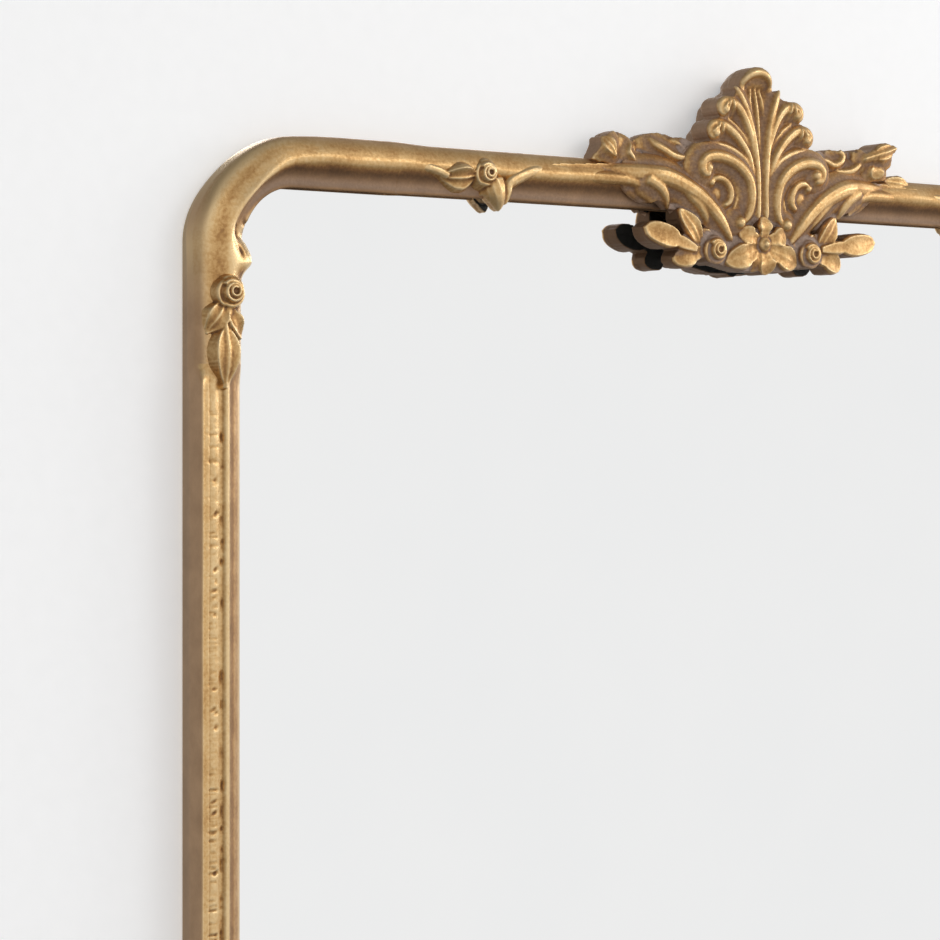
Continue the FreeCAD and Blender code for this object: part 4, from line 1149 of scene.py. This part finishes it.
# %% The block, the fan and the hood over it
def draw_crest_centre():
    """All strokes of the block and the palmette."""
    bm = bmesh.new()
    for half in (fan_half, block_half):
        for side in SIDES:
            half(bm, side)
    crest_slab(bm, 1, [(-8, -46), (8, -46), (12, -14), (24, 14), (31, 38), (20, 58), (0, 66), (-20, 58), (-31, 38),
                       (-24, 14), (-12, -14)], -37, -28, lean=0.08)
    crest_slab(bm, 1, [(-46, 0), (46, 0), (44, 18), (28, 42), (14, 60), (-14, 60), (-28, 42), (-44, 18)], -31, -5)
    crest_rope(bm, 1, [(0, 62, -31.5), (0, 62, -28), (0, 61.5, -18), (0, 59.5, -8), (0, 58.5, -4.5)],
               [12, 17.4, 16.8, 14, 11], facing=UPWARDS)
    crest_rope(bm, 1, [(-15.5, 61, -32.5), (-13.4, 67.5, -35.5), (-8.2, 72.5, -37.5), (0, 74.5, -38),
                       (8.2, 72.5, -37.5), (13.4, 67.5, -35.5), (15.5, 61, -32.5)],
               [1.8, 2.8, 3.5, 3.8, 3.5, 2.8, 1.8])
    for angle in range(-5, 186, 10):
        x, z = 14.8 * math.cos(math.radians(angle)), 61.8 + 14.6 * math.sin(math.radians(angle))
        crest_rope(bm, 1, [(x, z, -36), (x, z, -32), (x, z, -26)], [2.2, 2.8, 3.2], facing=UPWARDS)
    crest_rope(bm, 1, [(0, 64, -32.5), (0, 46, -35.5), (0, 26, -38), (0, 4, -39.5)], [0.8, 1.7, 1.5, 0.8])
    for side in SIDES:
        crest_rope(bm, side, [(4, 63, -32.5), (6.5, 50, -35), (5.5, 32, -37.5), (3, 14, -39)], [0.7, 1.2, 1.1, 0.7])
    crest_slab(bm, 1, [(-66, 6), (66, 6), (72, -10), (52, -38), (32, -56), (-32, -56), (-52, -38),
                       (-72, -10)], -36.5, -29)
    return bm


crest_strokes["crest_centre_cast"] = draw_crest_centre()
print("crest centre drawn")

# %% [markdown]
# ### Scrolls and acanthus arms
# A C-scroll curls up on either side of the fan, and below it an arm leaves the rail and sweeps down to the flower.
# A curve with a bevel could draw the same lines, but its section stays round. Ropes can be flattened towards the
# viewer, so that they lie on the ground like carved bands, and a slab behind the arm fills its leaf.

# %% C-scrolls and curls
def scroll_strokes(bm, side):
    """The C-scroll with its two volutes, and the small curl inside it."""
    crest_rope(bm, side, [(24, -47.5, -42), (18, -43.5, -43), (14.5, -36, -44), (13.8, -25, -45),
                          (16.8, -14, -45.5),
                          (24, -5.5, -45.5), (34.5, 0.8, -45), (47, 4, -44), (58.5, 3, -43.5), (64.5, -2.5, -43.5),
                          (62.5, -9, -43.5), (56, -9.5, -44)],
               [2.4, 3.4, 4.0, 4.6, 5.0, 5.0, 4.6, 4.0, 3.2], flat=0.88)
    crest_ball(bm, side, 25, -47, -43, 5.4, 5.0, 5.2)
    crest_ball(bm, side, 58.5, -5.5, -43, 4.8, 4.4, 4.8)
    crest_rope(bm, side, [(54, -15, -40), (45.5, -12.5, -41.5), (37.5, -15.5, -41.5), (33, -22.5, -41.5),
                          (33.5, -30, -41), (39, -34.5, -40.5)], [1.8, 2.8, 3.2, 3.2, 2.8, 1.8], flat=0.88)
    crest_ball(bm, side, 52, -16, -40, 3.4, 3.0, 3.4)
    crest_ball(bm, side, 44.5, -24, -35.5, 7.5, 3.6, 8.5)
    crest_ball(bm, side, 66, -10, -33, 9, 6, 8)
    crest_ball(bm, side, 57, 9.5, -34, 14, 6, 6)
    crest_rope(bm, side, [(31, -5, -39.5), (37, -8, -40.5), (44, -4.5, -40)], [1.0, 1.9, 1.0])
    crest_rope(bm, side, [(24, -20, -39.5), (25.5, -30, -39.5), (29, -39, -39)], [1.0, 1.6, 1.0])


def acanthus_strokes(bm, side):
    """The arm that leaves the rail and sweeps down to the flower, with its pointed lobes."""
    arm = [(205, -14, -15.5), (180, -13.5, -17), (155, -12.5, -20), (128, -11.8, -27), (106, -13, -33.5),
           (90, -16, -37), (70, -25, -40), (55, -35.5, -41.5), (42, -48.5, -42), (30, -63.5, -41)]
    crest_rope(bm, side, arm, [5.5, 6.2, 6.8, 7.4, 8.2, 8.0, 7.2, 6.2, 4.8, 1.5], flat=0.78)
    claw = [(200, -17, -20), (172, -17, -22.8), (146, -17, -27), (126, -18, -29.5), (114, -23, -31),
            (107.5, -31, -30)]
    crest_rope(bm, side, claw, [4.5, 4.8, 5.0, 4.6, 3.6, 0.8], flat=0.85)
    crest_rope(bm, side, [(116, -15, -35), (103, -21.5, -36.5), (95.5, -30, -36), (91.5, -40.5, -32.5)],
               [5, 5.0, 3.6, 0.7], flat=0.8)
    crest_rope(bm, side, [(82, -21, -38.5), (67, -32, -40), (58.5, -42, -39.5), (53, -53, -36.5)],
               [5, 5.8, 4.6, 0.9], flat=0.8)
    crest_ball(bm, side, 66, -42, -35, 6.5, 4.5, 8, 20)
    crest_ball(bm, side, 118, -26, -25.5, 17, 4, 7, -25)
    crest_slab(bm, side, [(118, -13), (108, -14), (84, -20), (62, -32), (46, -46), (33, -60), (40, -62), (55, -52),
                          (68, -47), (82, -40), (92, -39), (100, -34), (108, -31), (114, -24)], -33.5, -28)


def draw_scroll(side):
    """One scroll with its arm."""
    bm = bmesh.new()
    scroll_strokes(bm, side)
    acanthus_strokes(bm, side)
    return bm


for hand, side in (("left", -1), ("right", 1)):
    crest_strokes[f"scroll_{hand}_cast"] = draw_scroll(side)
print("scrolls drawn")

# %% [markdown]
# ### Leafy lumps on the rail
# Folded leaves lie on the rail on both sides of the block. One side could be mirrored, as the scrolls are, but the
# photograph shows that they aren't alike, so each is drawn for itself. Eggs and thick ropes give the body, and thin
# ropes and leaves the folds.

# %% Leafy lumps along the top of the rail
def draw_left_foliage():
    """Two long lumps with folded leaves."""
    bm = bmesh.new()
    crest_rope(bm, -1, [(157, -4, -17), (151, 2, -17), (144, 8, -17), (136, 10.5, -17), (128.5, 9.5, -17),
                        (123, 4, -17)],
               [3, 6.5, 9.5, 10.2, 9, 6], flat=0.9)
    crest_rope(bm, -1, [(119, 4, -17), (108, 9, -17), (97, 10.8, -18), (88, 10.5, -18), (83, 7, -18)],
               [7, 10, 10.6, 10.4, 8], flat=0.9)
    crest_rope(bm, -1, [(84, 6, -18), (76, 8.5, -19), (68, 5, -20)], [8, 10.5, 8], flat=0.9)
    crest_ball(bm, -1, 121, 6, -19, 7, 8, 8)
    crest_leaf(bm, -1, (153, 15, -27.5), (140, 0, -30.5), 10, thick=4, arch=2.5, cup=1.4, rib=1.4)
    crest_rope(bm, -1, [(123, 11, -27), (126.5, 5, -29), (124, 1, -29.5), (120.5, -3, -29)], [1.0, 1.9, 1.9, 1.0])
    crest_rope(bm, -1, [(107, 17, -26), (100.5, 11, -29.5), (93, 7, -31.5), (86, 3.4, -33), (78, 2, -34),
                        (70, 4, -35), (60, 6, -36.5), (50, 7, -38)], [1.6, 3.4, 3.6, 3.4, 3.2, 2.8, 2.4, 1.6])
    crest_rope(bm, -1, [(88, 15.5, -26), (80, 14.5, -29), (74, 9, -32), (68.5, 4.5, -35)], [1.2, 2.2, 2.2, 1.4])
    crest_slab(bm, -1, [(52, 6), (70, 5), (158, 2), (160, -3), (134, -8), (110, -9), (84, -9), (52, -10)], -25, -12)
    return bm


def draw_right_foliage():
    """A row of round lumps with curls and blunt leaves."""
    bm = bmesh.new()
    for x, z, wide, tall in ((73, 5, 11, 12), (90, 8, 14, 11.5), (112, 8, 13, 11), (131, 8, 12, 11),
                             (147, 10, 12, 13)):
        crest_ball(bm, 1, x, z, -17, wide, 11, tall)
    crest_rope(bm, 1, [(56, 9, -37), (67, 9.5, -35), (78.5, 8.5, -33), (88.5, 5.8, -32), (97, 9, -31.5),
                       (100, 14.8, -30.5), (96, 18.4, -29.5)], [1.6, 2.2, 2.6, 2.8, 2.8, 2.6, 2.0])
    crest_rope(bm, 1, [(90, 1, -31), (100, 0.8, -31.5), (109, 2.2, -31.5), (117, 7, -31), (121, 13.5, -30.5),
                       (121, 18.2, -29), (116, 19.8, -28)], [1.6, 2.4, 2.8, 2.8, 2.6, 2.4, 1.6])
    crest_leaf(bm, 1, (122, 13, -27.5), (157, 23, -25), 17, thick=7, arch=3, cup=1.6, rib=1.4, blunt=0.7)
    crest_leaf(bm, 1, (139, 13.5, -30), (137, -3, -31), 15, thick=6, arch=2.5, cup=1.6, rib=0.0, blunt=0.9)
    crest_leaf(bm, 1, (156, -3, -23), (186, -5.5, -22.5), 11, thick=6, arch=2.5, cup=1.0, rib=0.8, blunt=0.3)
    crest_slab(bm, 1, [(56, 5), (152, 2), (156, -3), (120, -7), (84, -10), (58, -10)], -25, -12)
    return bm


crest_strokes["foliage_left_cast"] = draw_left_foliage()
crest_strokes["foliage_right_cast"] = draw_right_foliage()
print("foliage drawn")

# %% [markdown]
# ### The garland
# A flower hangs below the fan, with a rose and a sprig of leaves on either side, and reaches over the glass. Petals
# could be flat cards, but they would look thin from the side and in the mirror. So each is a cupped leaf with a
# thickness, and eggs and a slab behind them close the gaps, as the casting does.

# %% The garland over the glass
def garland_half(bm, side):
    """Petals, rose and sprig of one half."""
    crest_leaf(bm, side, (3, -61, -43.5), (25, -54.5, -43), 15, thick=4, arch=3, cup=2.0, blunt=0.75)
    crest_leaf(bm, side, (4, -67, -43.5), (38, -79, -42), 20, thick=5, arch=4, cup=2.4, rib=0.5, blunt=0.5)
    rose(bm, (side * 51, -41.5, RAIL_TOP - 70), 12.0)
    stem, tip = ((64, -65.5, -39), (128, -57, -34)) if side > 0 else ((70, -70, -39), (119, -54.5, -34))
    crest_ball(bm, side, 76, -65, -34, 14, 5, 7)
    crest_leaf(bm, side, stem, tip, 20.5, thick=6, arch=2.5, cup=1.6, blunt=0.85)
    crest_leaf(bm, side, (63, -66, -40.5), (84, -38, -39.5), 15, thick=5, arch=3, cup=2.4, rib=1.2, blunt=0.25)
    crest_leaf(bm, side, (58, -70, -40.5), (90, -79, -39), 16, thick=6, arch=3, cup=2.2, blunt=0.7)
    crest_leaf(bm, side, (52, -62, -39), (64, -53, -38.5), 9, thick=5, arch=2, cup=1.2, rib=0.8)
    crest_ball(bm, side, 34, -69, -36, 30, 5, 13)


def draw_garland():
    """The flower in the middle and both halves of the garland."""
    bm = bmesh.new()
    for side in SIDES:
        garland_half(bm, side)
    crest_leaf(bm, 1, (0, -61, -44), (0, -41, -44), 13, thick=4, arch=3, cup=1.8, blunt=0.7)
    crest_leaf(bm, 1, (0.5, -66.5, -44), (4.5, -88, -42), 17, thick=5, arch=3, cup=1.8, blunt=0.8)
    crest_leaf(bm, -1, (2.5, -67, -43.5), (11, -86, -41.5), 11, thick=5, arch=3, cup=1.6, blunt=0.6)
    crest_ball(bm, 1, 0, -63.5, -45, 6.2, 3.2, 6.2)
    crest_ball(bm, 1, 0, -63.5, -47, 3.2, 2.8, 3.2)
    crest_slab(bm, 1, [(-58, -52), (58, -52), (63, -68), (50, -80), (20, -86), (-20, -86), (-50, -80),
                       (-63, -68)], -37, -30)
    return bm


crest_strokes["garland_cast"] = draw_garland()
print("strokes of", len(crest_strokes), "castings")

# %% [markdown]
# ### Casting the crest
# The strokes of each casting get their cloth and become a skin. One skin for the whole crest would have too many
# faces, and the real crest is made of castings too. The cloths of the scrolls may spread over the crest's whole
# outline, so that no gap shows between one casting and the next.

# %% Where the cloths may lie on the crest
LOW, HIGH = np.array((-236.0, 206.0)), np.array((236.0, 386.0))
GROUND_WIDTH, OUTLINE_WIDTH = 122, 132
GROUND_FOOT, GROUND_TOP = RAIL_TOP - 30, RAIL_TOP - 2
fronts = {name: front_map(bm, LOW, HIGH) for name, bm in crest_strokes.items()}
everything = np.max(list(fronts.values()), axis=0)
widths = np.abs(LOW[0] + np.arange(everything.shape[0]) * CELL)[:, None]
heights = (LOW[1] + np.arange(everything.shape[1]) * CELL)[None, :]
ground = (widths < GROUND_WIDTH) & (heights > GROUND_FOOT) & (heights < GROUND_TOP)
outline = (np.isfinite(everything) & (widths < OUTLINE_WIDTH)) | ground
print("cells of the outline", int(outline.sum()))

# %% Laying the cloths and casting the crest
# For each casting: the cloth's first fall, its slope and its back, the voxel, and the nodes it stands for
castings = {
    "crest_centre_cast": (1.4, 0.62, -20, 0.76, ["crest_saddle", "palmette"]),
    "garland_cast": (5.0, 0.5, -23, 0.7, ["garland"]),
}
for hand in ("left", "right"):
    castings[f"scroll_{hand}_cast"] = (1.6, 0.62, -26, 0.7, [f"{hand}_scroll"])
    castings[f"foliage_{hand}_cast"] = (1.6, 0.6, -12, 0.7, [f"{hand}_foliage"])

crest_skins = {}
for name, bm in crest_strokes.items():
    steep, slope, back, voxel, _ = castings[name]
    allowed = np.isfinite(fronts[name])
    if "scroll" in name:
        allowed = allowed | outline
    add_sheet(bm, lay_cloth(fronts[name], allowed, steep, slope), LOW, back)
    crest_skins[name] = cast_skin(bm, voxel, rounds=3)
print("castings skinned", list(crest_skins))

# %% [markdown]
# ## Ash in the hollows of the crest
# The ground between the ribs was never rubbed, so a grey-brown ash stays there. How deep a point lies behind the
# strokes round it could be found by casting rays. A simpler way is a map of the front of the crest: each
# cell takes the foremost depth near it, and a point far behind that is ground.

# %% How far each point lies behind the strokes round it
SPOT, REACH, VEIL_FALL = 0.8 * MM, 9, 4.0 * MM


def depth_behind(rows):
    """For each set of points, how far they lie behind the foremost points near them."""
    everything = np.vstack(rows)
    low = everything[:, [0, 2]].min(0) - (REACH + 1) * SPOT
    spots = ((everything[:, [0, 2]] - low) / SPOT).astype(int)
    front = np.zeros(spots.max(0) + REACH + 2)
    np.minimum.at(front, (spots[:, 0], spots[:, 1]), everything[:, 1])
    veil = front.copy()
    for i in range(-REACH, REACH + 1):
        for j in range(-REACH, REACH + 1):
            gap = (i * i + j * j) / REACH ** 2
            if gap <= 1:
                veil = np.minimum(veil, np.roll(front, (i, j), (0, 1)) + VEIL_FALL * gap)
    depth = everything[:, 1] - veil[spots[:, 0], spots[:, 1]]
    return np.split(depth, np.cumsum([len(r) for r in rows])[:-1])


depths = depth_behind([surface(skin)[0] for skin in crest_skins.values()])
print("deepest ground", [round(float(d.max()) / MM) for d in depths], "mm")

# %% Punched ground, ash and wear
GRIT_FINE, GRIT_DEEP = 620, 0.26
ARM_ENDS, ARM_FADE = 112, 28
for (name, skin), depth in zip(crest_skins.items(), depths):
    here, normal = surface(skin)
    frontal = np.clip(-normal[:, 1] * 2 - 0.3, 0, 1)
    low = ease((depth / MM - 1.5) / 3.0)
    ash_and_painted_bounce_light, film_and_painted_shade = low * frontal * 0.82, low * (1 - frontal) * 0.75
    dulling_and_painted_light = ease((depth / MM - 1.0) / 3.0) * 0.45
    if name == "garland_cast":
        dulling_and_painted_light, film_and_painted_shade = dulling_and_painted_light + 0.9 * film_and_painted_shade, 0.3 * film_and_painted_shade
    else:
        ash_and_painted_bounce_light = ash_and_painted_bounce_light + 0.45 * film_and_painted_shade
    if "scroll" in name:
        # Near the rail the arms take the rail's film and rub, with its painted shade and painted highlights
        like_rail = ease((np.abs(here[:, 0]) / MM - ARM_ENDS) / ARM_FADE)
        film_and_painted_shade = film_and_painted_shade * (1 - like_rail) + rail_film_and_painted_shade(here, normal) * like_rail
        dulling_and_painted_light = dulling_and_painted_light * (1 - like_rail) + rail_rub_and_painted_light(here) * like_rail
    grit = np.array([noise.noise(Vector(p) * GRIT_FINE) for p in here])
    here = here + normal * (grit * low * frontal * GRIT_DEEP * MM)[:, None]
    skin.vertices.foreach_set("co", here.astype(np.float32).ravel())
    skin.update()
    wear(skin, proud=1.7, rounds=60, film_and_painted_shade=film_and_painted_shade, ash_and_painted_bounce_light=ash_and_painted_bounce_light, dulling_and_painted_light=dulling_and_painted_light)
    piece_from(name, skin, castings[name][-1])

# %% [markdown]
# ## Glass, board and fittings
# What is left are plain stamped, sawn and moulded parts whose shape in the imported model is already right.
# They keep that shape and get a finish with grain, brushing or grit at the scale of the real material.

# %% Finishes for the glass and the fittings
def plain_finish(name, scale, low, high, rough, metal=0.0, bump=0.0, stretch=(1, 1, 1)):
    """A finish whose colour and roughness wander between two ends with a grain."""
    finish, tree, shader = new_finish(name)
    grain = object_noise(tree, scale, detail=4, rough=0.6, stretch=stretch)
    grain_colour(tree, shader, grain, low, high)
    tree.links.new(remap(tree, grain, 0.3, 0.7, *rough), shader.inputs["Roughness"])
    shader.inputs["Metallic"].default_value = metal
    if bump:
        add_bump(tree, shader, grain, depth=bump, strength=0.6)
    return finish


SILVER = (0.955, 0.96, 0.96), (0.97, 0.972, 0.97)
FIBRE = (0.13, 0.075, 0.042), (0.22, 0.135, 0.08)
PINE = (0.46, 0.30, 0.15), (0.66, 0.47, 0.27)
PLATED = (0.50, 0.50, 0.49), (0.68, 0.68, 0.66)
finishes = {
    "mirror_glass": plain_finish("silvered_glass", 6, *SILVER, (0.0, 0.012), metal=1.0),
    "hardboard": plain_finish("hardboard", 160, *FIBRE, (0.6, 0.75), bump=0.0003),
    "pine_upright": plain_finish("pine_upright", 60, *PINE, (0.5, 0.65), bump=0.0003, stretch=(6, 6, 0.5)),
    "pine_level": plain_finish("pine_level", 60, *PINE, (0.5, 0.65), bump=0.0003, stretch=(0.5, 6, 6)),
    "zinc": plain_finish("zinc_plate", 500, *PLATED, (0.25, 0.42), metal=1.0, bump=0.0001, stretch=(1, 1, 0.2)),
    "rubber": plain_finish("black_rubber", 900, grey(0.012), grey(0.03), (0.6, 0.8), bump=0.0002),
    "foam": plain_finish("foam_tape", 900, grey(0.10), grey(0.17), (0.8, 0.95), bump=0.0002),
}
print("finishes", sorted(finishes))

# %% Giving each carried-over node its finish
def finish_for(name):
    """Picks a finish from the words in a node's name."""
    for word, finish in (("glass", "mirror_glass"), ("board", "hardboard"), ("tape", "foam"), ("block", "rubber"),
                         ("bumper", "rubber"), ("left_batten", "pine_upright"), ("right_batten", "pine_upright"),
                         ("batten_screws", "zinc"), ("batten", "pine_level")):
        if word in name:
            return finishes[finish]
    return finishes["zinc"]


replaced = {n for o in scene.objects if "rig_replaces" in o for n in o["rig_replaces"]}
for name, node in nodes.items():
    if name not in replaced:
        node.data.materials.clear()
        node.data.materials.append(finish_for(name))
print("carried over", len(nodes) - len(replaced), "replaced", len(replaced))
